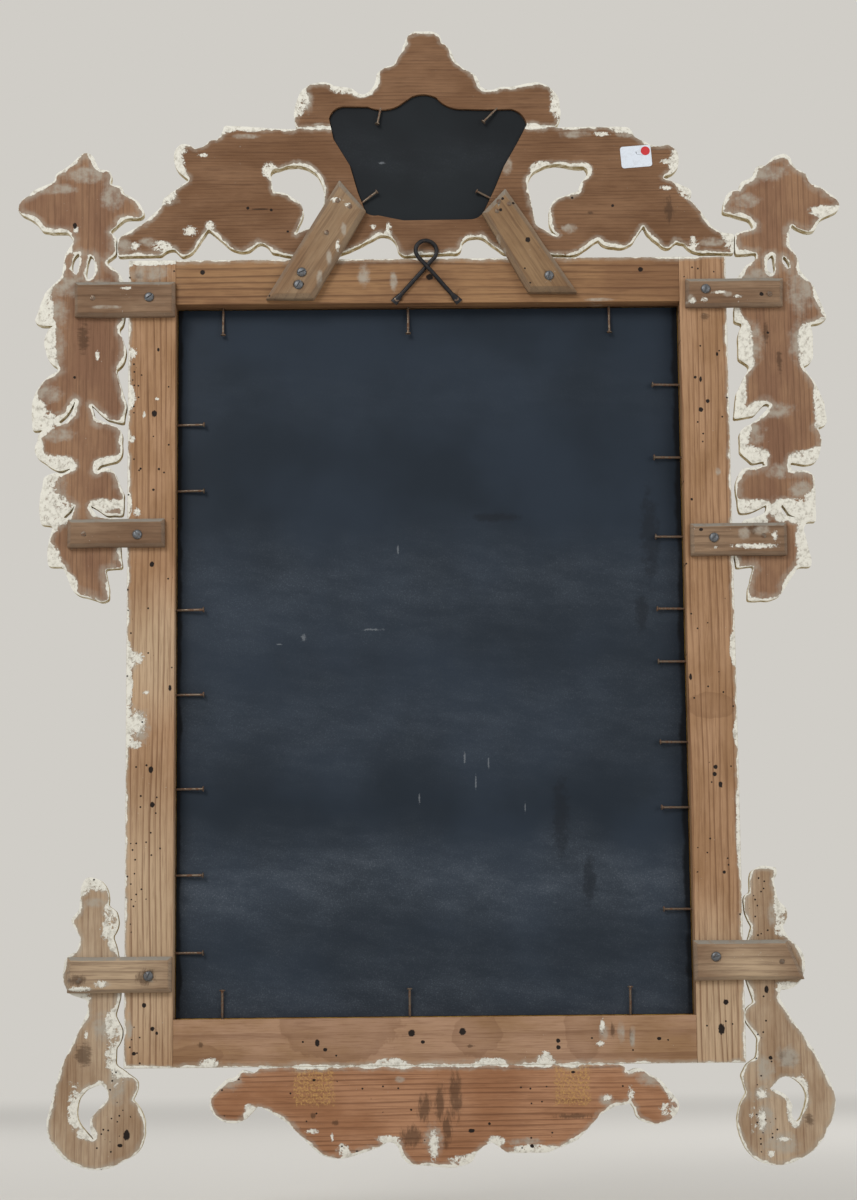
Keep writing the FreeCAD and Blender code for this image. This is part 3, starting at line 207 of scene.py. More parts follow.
def aged_pine(name, colours, angle, ring_mm, contrast, seed, worms=0.05, rim=None, rim_mm=1.2,
              chalk="", spread_mm=9.0, film="", film_mm=4.5, nail_holes="", stains="", glue="",
              bleached="", daubs="", tides="", eaten="", dusty_tops=False, flecks=0.5):
    """Old bare softwood, sawn and planed by hand: brown from air and handling, with thin dark
    late rings along the grain, fine fibres, worm holes, and spilt gesso dried on its edges.
    The texts list patches, as nearest() reads them: gesso that spreads from the rim (chalk),
    thin wiped gesso (film), thick splashes (daubs), stains along the saw marks, water stains
    (tides), scars of glue, nail holes, wood full of worm holes (eaten) and pale wood."""
    material, add = new_material(name)
    light, mid, dark = [linear(colour) for colour in colours.split()]
    spot = in_millimetres(add)
    along = grainwise(add, spot, 14.0, angle, seed)
    drift = add("TexNoise", along, 1 / 24.0, 2.0)
    wander = add("Math MULTIPLY_ADD", drift, 15.0, add("SeparateXYZ", along, result=2))
    rings = add("Math FRACT", add("Math DIVIDE", wander, ring_mm))
    late = add("Math MULTIPLY", add("MapRange", rings, 0.55, 0.92),
               add("MapRange", rings, 1.0, 0.95))
    faint = clouds(add, along, 9.0, 2.0, 0.5, 0.35, 0.65, 0.35, 1.0)
    late = add("Math MULTIPLY", late, faint)
    fibre = add("TexNoise", grainwise(add, spot, 30.0, angle, seed + 7), 1 / 1.1, 3.0, 0.7)
    blotch = add("TexNoise", grainwise(add, spot, 2.2, angle, seed + 3), 1 / 38.0, 4.0, 0.6)
    colour = add("Mix", add("MapRange", blotch, 0.32, 0.68), light, mid)
    if bleached:
        pale = add("Math MULTIPLY_ADD", blotch, 0.8, nearest(add, spot, bleached))
        colour = add("Mix", add("MapRange", pale, 1.9, 0.5, 0.0, 0.75), colour, bleached_wood)
    colour = add("Mix", add("Math MULTIPLY", late, contrast), colour, dark)
    colour = add("Mix", add("MapRange", fibre, 0.45, 0.72, 0.0, 0.45), colour, dark)
    lift = add("Math MULTIPLY_ADD", fibre, 0.12, add("Math MULTIPLY", late, 0.14))
    if tides:
        # water stain: darkest just inside its rounded edge
        wet = ragged_patches(add, spot, tides, 20.0, 4.0, 0.55, 1.1)
        soaked = add("Math MULTIPLY", add("MapRange", wet, 1.60, 1.53),
                     add("MapRange", wet, 1.1, 1.56, 0.16, 0.3))
        colour = add("Mix", soaked, colour, dark)
    if stains:
        smudged = add("TexNoise", grainwise(add, spot, 3.0, angle + upright), 1 / 3.2, 5.0, 0.7)
        soaked = add("Math MULTIPLY_ADD", smudged, 2.6, nearest(add, spot, stains))
        colour = add("Mix", add("MapRange", soaked, 2.4, 1.7, 0.0, 0.66), colour, stain_brown)
    if glue:
        # scars of lost blocks: dried hide glue, crazed into grains
        crust = ragged_patches(add, spot, glue, 4.0, 5.0, 0.7, 1.1, oblong=True)
        crust = add("Math MULTIPLY", add("MapRange", crust, 1.62, 1.44),
                    clouds(add, spot, 2.2, 4.0, 0.8, 0.45, 0.58, 0.0, 0.85))
        colour = add("Mix", crust, colour, glue_amber)
        lift = add("Math MULTIPLY_ADD", crust, 0.4, lift)
    colony = clouds(add, spot, 34.0, 1.0, 0.5, 0.42, 0.6, 0.25, 1.0)
    attacked = add("Math MULTIPLY", colony, worms)
    if eaten:
        attacked = add("Math MAXIMUM", attacked, add("MapRange", nearest(add, spot, eaten), 1.2,
                       0.6, 0.0, 0.62))
    pits = worm_holes(add, spot, 4.6, 1.0, attacked, seed)
    if nail_holes:
        ring = add("Math MULTIPLY_ADD", add("TexNoise", spot, 1 / 2.0, 2.0), 0.7,
                   nearest(add, spot, nail_holes))
        pits = add("Math MAXIMUM", pits, add("MapRange", ring, 1.45, 1.15))
    # gesso keeps to the rim, and spreads inwards where a patch is listed
    torn = add("TexNoise", spot, 1 / 4.6, 6.0, 0.75, 2.0, 0.6)
    coarse = add("TexNoise", spot, 1 / 19.0, 3.0, 0.5)
    near_rim = rim(add, spot) if rim else 6.0
    width = add("MapRange", coarse, 0.38, 0.66, 0.3 * rim_mm, 2.6 * rim_mm)
    tear = 3.0 * rim_mm
    if chalk:
        spread = add("MapRange", nearest(add, spot, chalk), 1.7, 0.2)
        width = add("Math MULTIPLY_ADD", spread, spread_mm, width)
        tear = add("Math MULTIPLY_ADD", spread, 58.0, tear)
    depth = add("Math MULTIPLY_ADD", add("Math SUBTRACT", torn, 0.5), tear,
                add("Math SUBTRACT", near_rim, width))
    white = add("MapRange", depth, 0.35, -0.25)
    thin = add("MapRange", depth, film_mm, 0.0, 0.0, 0.65)
    if film:
        wiped = ragged_patches(add, spot, film, 8.0, 5.0, 0.7, 1.5)
        thin = add("Math MAXIMUM", thin, add("MapRange", wiped, 1.9, 1.2, 0.0, 0.85))
    thin = add("Math MULTIPLY", thin, clouds(add, spot, 9.0, 6.0, 0.62, 0.34, 0.62, 0.3, 1.0))
    spilt = add("Math MULTIPLY", clouds(add, spot, 2.6, 4.0, 0.7, 0.66, 0.70),
                add("MapRange", coarse, 0.50, 0.60, 0.0, flecks))
    white = add("Math MAXIMUM", white, spilt)
    if daubs:
        ragged = ragged_patches(add, spot, daubs, 2.6, 6.0, 0.8, 3.6)
        white = add("Math MAXIMUM", white, add("MapRange", ragged, 2.72, 2.5))
    scraped = add("MapRange", add("TexNoise", grainwise(add, spot, 1.8, angle + 0.6), 1 / 3.6, 6.0,
                  0.8), 0.55, 0.62)
    white = add("Math MULTIPLY", white, add("MapRange",
                add("Math MULTIPLY", scraped, add("MapRange", near_rim, 1.5, 5.0)), 0.0, 1.0, 1.0,
                0.25))
    grime = clouds(add, spot, 5.0, 5.0, 0.7, 0.45, 0.72)
    colour = add("Mix", thin, colour, chalk_film)
    colour = add("Mix", white, colour, add("Mix", grime, gesso_white, gesso_grey))
    if dusty_tops:
        facing = add("SeparateXYZ", add("NewGeometry", result="Normal"), result=2)
        cling = clouds(add, spot, 6.0, 4.0, 0.5, 0.25, 0.5, 0.45, 0.9)
        outward = add("SeparateXYZ", add("NewGeometry", result="Normal"), result=1)
        dust = add("Math MAXIMUM", add("MapRange", facing, 0.25, 0.6),
                   add("MapRange", outward, 0.92, 0.7, 0.0, 0.22))
        dust = add("Math MULTIPLY", dust, cling)
        colour = add("Mix", dust, colour, dust_grey)
    colour = add("Mix", pits, colour, hole_brown)
    lift = add("Math SUBTRACT", add("Math MULTIPLY_ADD", white, 0.6, lift), pits)
    dull = add("MapRange", blotch, 0.3, 0.7, 0.62, 0.8)
    finish(add, colour, dull, lift, 0.6, 0.6, specular=0.28)
    return material


def water_gilding(name, edge_depth=None):
    """Gold leaf burnished over red bole and gesso: bright on the ridges, rubbed through to the
    red bole on the proudest places, dull and brown in the hollows, chipped to white gesso."""
    material, add = new_material(name)
    spot = in_millimetres(add)
    hollow = add("Attribute", result="Fac", attribute_name="hollow")
    patchy = add("TexNoise", spot, 1 / 14.0, 4.0, 0.6)
    fine = add("TexNoise", spot, 1 / 2.2, 4.0, 0.65)
    gold = add("Mix", add("MapRange", patchy, 0.35, 0.7), linear("dcb568"), linear("bd8c42"))
    rubbed = add("Math MULTIPLY_ADD", fine, 1.1, add("Math MULTIPLY", hollow, -0.9))
    bole = add("Math MULTIPLY", add("MapRange", rubbed, 1.08, 1.36),
               add("MapRange", patchy, 0.44, 0.60, 0.0, 0.9))
    settled = add("Math MULTIPLY_ADD", fine, 0.5, hollow)
    dirt = add("MapRange", settled, 0.32, 1.1, 0.0, 0.88)
    chipped = add("Math MULTIPLY", add("MapRange", fine, 0.68, 0.71),
                  add("MapRange", patchy, 0.56, 0.62))
    matt = add("Math MAXIMUM", add("Math MAXIMUM", bole, dirt), chipped)
    colour = add("Mix", bole, gold, linear("7c3a28"))
    colour = add("Mix", dirt, colour, linear("45301b"))
    colour = add("Mix", chipped, colour, gesso_white)
    if edge_depth is not None:
        depth = add("SeparateXYZ", spot, result=1)
        ragged = add("Math MULTIPLY_ADD", add("TexNoise", spot, 1 / 6.0, 5.0, 0.7), 9.0, depth)
        outside = add("MapRange", outline_distance(add, spot), 12.0, 8.0)
        bare = add("Math MULTIPLY", outside, add("MapRange", ragged, edge_depth + 4.0, edge_depth +
                   5.4))
        stained = clouds(add, spot, 5.0, 4.0, 0.5, 0.40, 0.58)
        ochre = add("Mix", stained, linear("d5ccb2"), linear("a08c5c"))
        colour = add("Mix", bare, colour, ochre)
        matt = add("Math MAXIMUM", matt, bare)
    shine = add("Math MULTIPLY_ADD", patchy, 0.18, 0.24)
    rough = add("Math MULTIPLY_ADD", matt, 0.4, shine)
    tooling = add("TexNoise", spot, 1 / 1.6, 3.0, 0.6)
    lift = add("Math MULTIPLY_ADD", tooling, 0.4, add("Math MULTIPLY", chipped, -0.5))
    finish(add, colour, rough, lift, 0.3, 0.5, add("Math SUBTRACT", 1.0, matt))
    return material


def slate_paint(name, deep, worn, bands, smears, scratches, rim_shadow=""):
    """Slate-grey backing paint brushed over the silvering: matt, with paler soft grainy bands,
    dark smears, short pale scratches, and near-black margins along the rim that are painted
    shadow of the gap beside the stiles, partly the paint's own dark edge."""
    material, add = new_material(name)
    spot = in_millimetres(add)
    wide = add("TexNoise", spot, 1 / 120.0, 3.0, 0.5)
    brushed = add("TexNoise", grainwise(add, spot, 12.0, 0.12), 1 / 3.0, 3.0, 0.6)
    colour = add("Mix", add("MapRange", wide, 0.35, 0.65), linear(deep), linear(worn))
    # pale wavy soft bands across the paint, grainy and rougher where they lie
    wavy = add("Math MULTIPLY_ADD", add("TexNoise", spot, 1 / 110.0, 3.0, 0.5), 90.0,
               add("SeparateXYZ", spot, result=2))
    pale_bands = None
    for centre, reach, strength in bands:
        off = add("Math ABSOLUTE", add("Math SUBTRACT", wavy, centre + 45.0))
        band = add("MapRange", off, reach, 0.0, 0.0, strength)
        pale_bands = band if pale_bands is None else add("Math ADD", pale_bands, band)
    grains = clouds(add, spot, 1.3, 2.0, 0.8, 0.5, 0.78)
    clotted = add("MapRange", add("TexNoise", grainwise(add, spot, 2.6, 0.12), 1 / 16.0, 4.0,
                  0.65), 0.36, 0.68)
    pale_bands = add("Math MULTIPLY", pale_bands, add("Math MULTIPLY_ADD", clotted, 0.55, 0.45))
    band_paleness = add("Math MULTIPLY_ADD", add("Math MULTIPLY", grains, pale_bands), 0.7,
                add("Math MULTIPLY", pale_bands, 0.35))
    colour = add("Mix", band_paleness, colour, linear("747c86"))
    if smears:
        soft = ragged_patches(add, spot, smears, 9.0, 5.0, 0.7, 2.2)
        colour = add("Mix", add("MapRange", soft, 2.2, 1.5, 0.0, 0.5), colour, linear("171b21"))
    if scratches:
        marks = ragged_patches(add, spot, scratches, 1.6, 3.0, 0.8, 2.2)
        colour = add("Mix", add("MapRange", marks, 1.75, 1.45, 0.0, 0.5), colour, linear("84898e"))
    # near-black margins along the plate's long sides: painted shadow of the gap beside the stiles,
    # partly the paint's own dark edge
    if rim_shadow:
        shadowed_margin = ragged_patches(add, spot, rim_shadow, 26.0, 5.0, 0.6, 1.4, oblong=True)
        colour = add("Mix", add("MapRange", shadowed_margin, 1.95, 1.45, 0.0, 0.85), colour,
                     linear("0b0d10"))
    finish(add, colour, add("MapRange", pale_bands, 0.0, 0.6, 0.55, 0.8), brushed, 0.18, 0.3,
           specular=0.16)
    return material


def silvered_glass(name):
    """Old looking glass: silvering seen through the glass, near flawless but for grey foxing."""
    material, add = new_material(name)
    spot = in_millimetres(add)
    foxed = add("Math MULTIPLY", clouds(add, spot, 7.0, 5.0, 0.7, 0.62, 0.74),
                clouds(add, spot, 80.0, 2.0, 0.5, 0.5, 0.64))
    colour = add("Mix", foxed, linear("dfe4e3"), linear("5b564c"))
    finish(add, colour, add("MapRange", foxed, 0.0, 1.0, 0.02, 0.35), foxed, 0.05, 0.2,
           metallic=1.0)
    return material


def old_iron(name, clean, rust, rusted, roughness, metallic):
    """Forged or drawn iron with rust in patches: dull, dark and finely pitted."""
    material, add = new_material(name)
    spot = in_millimetres(add)
    patchy = add("TexNoise", spot, 1 / 2.4, 4.0, 0.65)
    rusty = add("MapRange", patchy, 0.62 - 0.4 * rusted, 0.78 - 0.4 * rusted)
    pits = add("TexNoise", spot, 1 / 0.7, 3.0, 0.7)
    finish(add, add("Mix", rusty, linear(clean), linear(rust)),
           add("MapRange", rusty, 0.0, 1.0, roughness, 0.85), pits, 0.35, 0.25,
           add("MapRange", rusty, 0.0, 1.0, metallic, 0.1))
    return material


def coated_paper(name, clean, soiled):
    """Glossy sticker paper: nearly flat, a little soiled, with faint paper fibres."""
    material, add = new_material(name)
    spot = in_millimetres(add)
    dirt = clouds(add, spot, 5.0, 4.0, 0.6, 0.45, 0.75, 0.0, 0.6)
    finish(add, add("Mix", dirt, linear(clean), linear(soiled)),
           add("MapRange", dirt, 0.0, 1.0, 0.42, 0.6), add("TexNoise", spot, 1 / 0.6, 2.0), 0.1,
           0.1)
    return material


# Meshes

def merged(name):
    """A CAD node's mesh with its loose triangles joined."""
    joined = bmesh.new()
    joined.from_mesh(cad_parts[name].data)
    bmesh.ops.remove_doubles(joined, verts=joined.verts, dist=2e-6)
    joined.normal_update()
    return joined


def put(name, data):
    """Object in the scene, at the origin."""
    made = bpy.data.objects.new(name, data)
    bpy.context.scene.collection.objects.link(made)
    return made


def as_mesh(shape, name):
    """Mesh of a shape, its faces turned outwards."""
    bmesh.ops.recalc_face_normals(shape, faces=shape.faces)
    mesh = bpy.data.meshes.new(name)
    shape.to_mesh(mesh)
    shape.free()
    return mesh


def turn_outwards(mesh):
    shape = bmesh.new()
    shape.from_mesh(mesh)
    bmesh.ops.recalc_face_normals(shape, faces=shape.faces)
    shape.to_mesh(mesh)
    shape.free()


def mark_points(mesh, title, values):
    """Gives a mesh a number at each point, for its material to read."""
    mesh.attributes.new(title, "FLOAT", "POINT").data.foreach_set("value", values)


def join_rings(shape, rings):
    """Faces between each ring of vertices and the next; a ring may be a single vertex."""
    for lower, upper in zip(rings, rings[1:]):
        for count in range(max(len(lower), len(upper))):
            corners = [lower[count % len(lower)], lower[(count + 1) % len(lower)],
                       upper[(count + 1) % len(upper)], upper[count % len(upper)]]
            shape.faces.new(list(dict.fromkeys(corners)))


def new_piece(name, mesh, materials, node_names):
    """Piece that stands for some CAD nodes."""
    piece = put(name, mesh)
    for material in materials:
        mesh.materials.append(material)
    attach(piece, "root")
    if node_names:
        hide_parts(*node_names)
    return piece


def soft_shading(mesh, degrees):
    """Smooth shading but across edges sharper than an angle; 0 shades every face flat."""
    mesh.polygons.foreach_set("use_smooth", np.full(len(mesh.polygons), degrees > 0))
    mesh.set_sharp_from_angle(angle=math.radians(degrees))


# Carved boards: outlines are read from the back faces of the CAD boards, then
# filled with a fine mesh whose front is raised into rounded carving.
grid_step, outline_step = 1.8, 1.9
arris_wear, edge_round = 0.5, 5.0
board_thickness, thinnest = 16.0, 8.5
ledge_depth = 5.5
nail_hole_reach = 9.0
uneven_edge, uneven_every = 0.5, 8.0
ridge_slope, ridge_reach = 0.24, 11.0
groove_depth, groove_inwards, groove_half_width = 0.9, 6.4, 1.3
flute_rise, flute_turns = 0.45, 2.6
tool_marks, tool_marks_every = 0.15, 6.0
well_in_front = -80.0
stem_across = 318.0
scroll_eye = (142.0, 432.0)
joint_up = (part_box("crest_centre_block")[0].z - middle_z) / mm
joint_sides = [(corner.x - middle_x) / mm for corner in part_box("crest_centre_block")]


def flat_edges(cad, depth):
    """Outline edges of the CAD faces that look back at a depth, as pairs of (across, up)."""
    chosen = {face.index for face in cad.faces if face.normal.y > 0.99
              and abs((face.calc_center_median().y - back) / mm - depth) < 0.02}
    pairs = []
    for edge in cad.edges:
        if sum(face.index in chosen for face in edge.link_faces) == 1:
            pairs.append([((vertex.co.x - middle_x) / mm, (vertex.co.z - middle_z) / mm)
                          for vertex in edge.verts])
    return pairs


def on_joint(name, start, end):
    """Whether a stretch of outline lies on a glued joint of the crest."""
    if not name.startswith("crest"):
        return False
    if abs(start[1] - joint_up) < 0.05 and abs(end[1] - joint_up) < 0.05:
        return True
    return start[1] > joint_up - 0.05 and end[1] > joint_up - 0.05 and any(
        abs(start[0] - side) < 0.05 and abs(end[0] - side) < 0.05 for side in joint_sides)


def board_outline(name):
    """Points and stretches of a board's outline, its rebate and its sight edge."""
    cad = merged(name)
    points, numbers, kinds = [], {}, {}

    def number(across, up):
        key = (round(across, 2), round(up, 2))
        if key not in numbers:
            numbers[key] = len(points)
            points.append((across, up))
        return numbers[key]

    for depth, mark in ((0.0, "back"), (-ledge_depth, "ledge")):
        for start, end in flat_edges(cad, depth):
            steps = max(1, math.ceil(math.dist(start, end) / outline_step))
            stops = [number(start[0] + (end[0] - start[0]) * count / steps,
                            start[1] + (end[1] - start[1]) * count / steps)
                     for count in range(steps + 1)]
            joint = on_joint(name, start, end)
            for first, second in zip(stops, stops[1:]):
                if first != second:
                    kinds.setdefault((min(first, second), max(first, second)), set()).update(
                        {mark, "joint"} if joint else {mark})
    # nail holes are small loops of their own, and the nails fill them
    owner = list(range(len(points)))

    def root(index):
        while owner[index] != index:
            owner[index] = owner[owner[index]]
            index = owner[index]
        return index

    for first, second in kinds:
        owner[root(first)] = root(second)
    loops = {}
    for index, point in enumerate(points):
        loops.setdefault(root(index), []).append(point)
    small = {key for key, members in loops.items()
             if max(np.ptp(np.array(members), axis=0)) < nail_hole_reach}
    kinds = {pair: marks for pair, marks in kinds.items() if root(pair[0]) not in small}
    spots = np.array(points)
    # worn corners: points of the open outline move towards their neighbours
    neighbours = {}
    fixed = set()
    for (first, second), marks in kinds.items():
        neighbours.setdefault(first, []).append(second)
        neighbours.setdefault(second, []).append(first)
        if marks != {"back"}:
            fixed |= {first, second}
    for _ in range(2):
        moved = spots.copy()
        for index, beside in neighbours.items():
            if index not in fixed and len(beside) == 2:
                moved[index] = spots[index] * 0.5 + (spots[beside[0]] + spots[beside[1]]) * 0.25
        spots = moved
    for index in neighbours:
        if index in fixed:
            continue
        across, up = spots[index]
        sway = noise.noise_vector(Vector((across / uneven_every, up / uneven_every, 3.1)))
        spots[index] += np.array((sway.x, sway.z)) * uneven_edge
    return {"name": name, "cad": cad, "spots": spots, "kinds": kinds, "used": sorted(neighbours)}


def stretches(outline, wanted):
    """Start and end points of the outline's stretches of one kind."""
    pairs = [pair for pair, marks in outline["kinds"].items() if wanted(marks)]
    if not pairs:
        return np.zeros((0, 2, 2))
    return outline["spots"][np.array(pairs)]


def inside(points, segments):
    """Which points lie within closed outlines, by counting crossings."""
    result = np.zeros(len(points), bool)
    if not len(segments):
        return result
    start, end = segments[:, 0], segments[:, 1]
    for first in range(0, len(points), 2000):
        x = points[first:first + 2000, 0][:, None]
        z = points[first:first + 2000, 1][:, None]
        spans = (start[:, 1] > z) != (end[:, 1] > z)
        rise = np.where(end[:, 1] == start[:, 1], 1.0, end[:, 1] - start[:, 1])
        meets = start[:, 0] + (z - start[:, 1]) * (end[:, 0] - start[:, 0]) / rise
        result[first:first + 2000] = np.sum(spans & (x < meets), axis=1) % 2 == 1
    return result


def distances(points, segments):
    """Distance of each point to the nearest of the stretches whose middles are closest to it."""
    if not len(segments):
        return np.full(len(points), 99.0)
    tree = KDTree(len(segments))
    for index, middle in enumerate(segments.mean(1)):
        tree.insert((middle[0], middle[1], 0), index)
    tree.balance()
    close = np.array([[found[1] for found in tree.find_n((x, z, 0), min(3, len(segments)))]
                      for x, z in points])
    start = segments[close, 0]
    way = segments[close, 1] - start
    offset = points[:, None, :] - start
    share = np.clip((offset * way).sum(2) / np.maximum((way ** 2).sum(2), 1e-9), 0, 1)
    return np.linalg.norm(offset - share[:, :, None] * way, axis=2).min(1)


def smoothed(values, pairs, times):
    """Values of mesh points, averaged with their neighbours some times."""
    count = np.bincount(pairs.ravel(), minlength=len(values))
    for _ in range(times):
        total = np.bincount(pairs[:, 0], values[pairs[:, 1]], len(values))
        total += np.bincount(pairs[:, 1], values[pairs[:, 0]], len(values))
        values = 0.4 * values + 0.6 * total / np.maximum(count, 1)
    return values


def carved_board(outline, rim, carving, veins, materials):
    """Fine mesh of a board with a flat worn back and a carved front; veins gives the height of
    the finest carving from places and their distances to the outline."""
    spots, used = outline["spots"], outline["used"]
    own = stretches(outline, lambda marks: True)
    back_rim = stretches(outline, lambda marks: "back" in marks)
    ledge_rim = stretches(outline, lambda marks: "ledge" in marks)
    low, high = spots[used].min(0), spots[used].max(0)
    columns = np.arange(low[0], high[0], grid_step)
    rows = np.arange(low[1], high[1], grid_step * 0.87)
    grid = np.array([(x + (grid_step / 2 if count % 2 else 0), z)
                     for count, z in enumerate(rows) for x in columns])
    within = inside(grid, back_rim) | inside(grid, ledge_rim)
    grid = grid[within]
    grid = grid[distances(grid, own) > 0.55 * grid_step]
    order = {index: count for count, index in enumerate(used)}
    flat = [Vector(p) for p in spots[used]] + [Vector(p) for p in grid]
    bounds = [(order[a], order[b]) for a, b in outline["kinds"]]
    result = delaunay_2d_cdt(flat, bounds, [], 0, 1e-4)
    points = np.array([tuple(v) for v in result[0]])
    triangles = np.array([face for face in result[2]])
    centres = points[triangles].mean(1)
    on_board = inside(centres, back_rim)
    on_ledge = inside(centres, ledge_rim) & ~on_board
    keep = on_board | on_ledge
    triangles, on_ledge = triangles[keep], on_ledge[keep]
    corners = points[triangles]
    first, second = corners[:, 1] - corners[:, 0], corners[:, 2] - corners[:, 0]
    turned = (first[:, 0] * second[:, 1] - first[:, 1] * second[:, 0]) < 0
    triangles[turned] = triangles[turned][:, ::-1]
    pairs = np.unique(np.sort(np.concatenate(
        [triangles[:, [0, 1]], triangles[:, [1, 2]], triangles[:, [2, 0]]]), axis=1), axis=0)
    edge = distances(points, rim)
    carve = distances(points, carving)
    # carving: read from the CAD front, rounded, and finished with a soft rim and flutes
    tree = BVHTree.FromBMesh(outline["cad"])
    raw = np.full(len(points), board_thickness)
    for index, (across, up) in enumerate(points):
        hit = tree.ray_cast(place(across, well_in_front, up), Vector((0, 1, 0)))[0]
        if hit is not None:
            raw[index] = max(board_thickness, (back - hit.y) / mm)
    form = smoothed(raw, pairs, 2)
    flutes = flute_rise * np.cos((form - board_thickness) * flute_turns) * np.clip(
        (form - board_thickness) / 2.0, 0, 1) * (form < board_thickness + 7.5)
    rounding = np.clip(carve, 0, edge_round) / edge_round
    fall = edge_round * (1 - np.sqrt(np.maximum(1 - (1 - rounding) ** 2, 0)))
    ridge = ridge_slope * np.minimum(carve, ridge_reach)
    groove = groove_depth * np.exp(-((carve - groove_inwards) / groove_half_width) ** 2)
    front = form - fall + ridge + flutes - groove
    front += veins(points, carve) * np.clip((carve - 2.0) / 4.0, 0, 1)
    tooled = np.array([noise.noise(Vector((across / tool_marks_every, up / tool_marks_every, 9.0)))
                       for across, up in points])
    front = np.maximum(front + tool_marks * tooled, thinnest)
    hollow = np.clip((smoothed(front, pairs, 14) - front) * 0.8, -1, 1)
    wear = np.where(edge < 0.5 * grid_step, arris_wear, 0.0)
    # vertices: a back layer, a back layer of the ledge, and the front layer
    vertices, layers = [], {}

    def vertex(kind, index, depth):
        key = (kind, index)
        if key not in layers:
            layers[key] = len(vertices)
            vertices.append((points[index][0], depth, points[index][1]))
        return layers[key]

    faces, finishes = [], []
    for (a, b, c), ledge in zip(triangles.tolist(), on_ledge.tolist()):
        if ledge:
            faces.append([vertex("ledge", i, -ledge_depth) for i in (c, b, a)])
        else:
            faces.append([vertex("back", i, -wear[i]) for i in (c, b, a)])
        finishes.append(0)
        faces.append([vertex("front", i, -front[i]) for i in (a, b, c)])
        finishes.append(1)
    sides = {}
    for (a, b, c), ledge in zip(triangles.tolist(), on_ledge.tolist()):
        for start, end in ((a, b), (b, c), (c, a)):
            sides.setdefault((min(start, end), max(start, end)), []).append((start, end, ledge))
    rows_deep = 4
    for found in sides.values():
        if len(found) == 1:
            start, end, ledge = found[0]
            kind = "ledge" if ledge else "back"
            last = [vertex(kind, start, 0), vertex(kind, end, 0)]
            for row in range(1, rows_deep + 1):
                if row == rows_deep:
                    following = [vertex("front", start, 0), vertex("front", end, 0)]
                else:
                    following = []
                    for index in (start, end):
                        top = vertices[layers[(kind, index)]][1]
                        depth = top + (-front[index] - top) * row / rows_deep
                        following.append(vertex(("wall", row), index, depth))
                faces.append([last[0], last[1], following[1], following[0]])
                finishes.append(1 if kind == "back" else 0)
                last = following
        elif found[0][2] != found[1][2]:
            start, end, _ = found[0]
            faces.append([vertex("back", start, 0), vertex("back", end, 0),
                          vertex("ledge", end, 0), vertex("ledge", start, 0)])
            finishes.append(0)
    mesh = bpy.data.meshes.new(outline["name"] + "_carved")
    mesh.from_pydata([tuple(place(*spot)) for spot in vertices], [], faces)
    mesh.polygons.foreach_set("material_index", finishes)
    edge_values = np.zeros(len(vertices), np.float32)
    hollow_values = np.zeros(len(vertices), np.float32)
    for (kind, index), number in layers.items():
        edge_values[number] = edge[index] if kind in ("back", "ledge") else 0.0
        hollow_values[number] = hollow[index] if kind == "front" else 0.2
    mark_points(mesh, "edge_mm", edge_values)
    mark_points(mesh, "hollow", hollow_values)
    turn_outwards(mesh)
    soft_shading(mesh, 40)
    return new_piece(outline["name"] + "_carved", mesh, materials, [outline["name"]])


def leaf_veins(points, carve):
    """Chevrons that fall away on both sides of a garland's stem, and the stem's own groove."""
    out = np.abs(np.abs(points[:, 0]) - stem_across)
    ribs = 0.75 * np.cos(math.tau * (points[:, 1] + 0.9 * out) / 10.5)
    return ribs * np.clip(out / 6.0, 0, 1) - 1.4 * np.exp(-(out / 1.8) ** 2)


def following_flutes(points, carve):
    """Shallow flutes that follow the outline inwards."""
    return 0.55 * np.cos(math.tau * (carve - 6.4) / 7.0) * np.clip((17.0 - carve) / 6.0, 0,
                         1) - 0.3


def crest_veins(points, carve):
    """Leaf ribs that fan out from the eyes of the crest's scrolls, flutes on the rest."""
    out = np.abs(points[:, 0]) - scroll_eye[0]
    up = points[:, 1] - scroll_eye[1]
    reach = np.hypot(out, up)
    ribs = 0.7 * np.cos(44 * np.arctan2(up, out) + reach / 18.0)
    leaf = np.clip((reach - 40.0) / 8.0, 0, 1) * np.clip((out + 4.0) / 8.0, 0, 1)
    return leaf * ribs + (1 - leaf) * following_flutes(points, carve)


def cut_at_steps(copy, step):
    """Cuts a mesh by planes a step apart along each axis, so that no face is long."""
    for axis in range(3):
        way = Vector((axis == 0, axis == 1, axis == 2))
        reach = [vertex.co[axis] for vertex in copy.verts]
        for count in range(math.floor(min(reach) / step) + 1, math.ceil(max(reach) / step)):
            bmesh.ops.bisect_plane(copy, geom=[*copy.verts, *copy.edges, *copy.faces],
                                   dist=0.01 * mm, plane_co=way * step * count, plane_no=way)


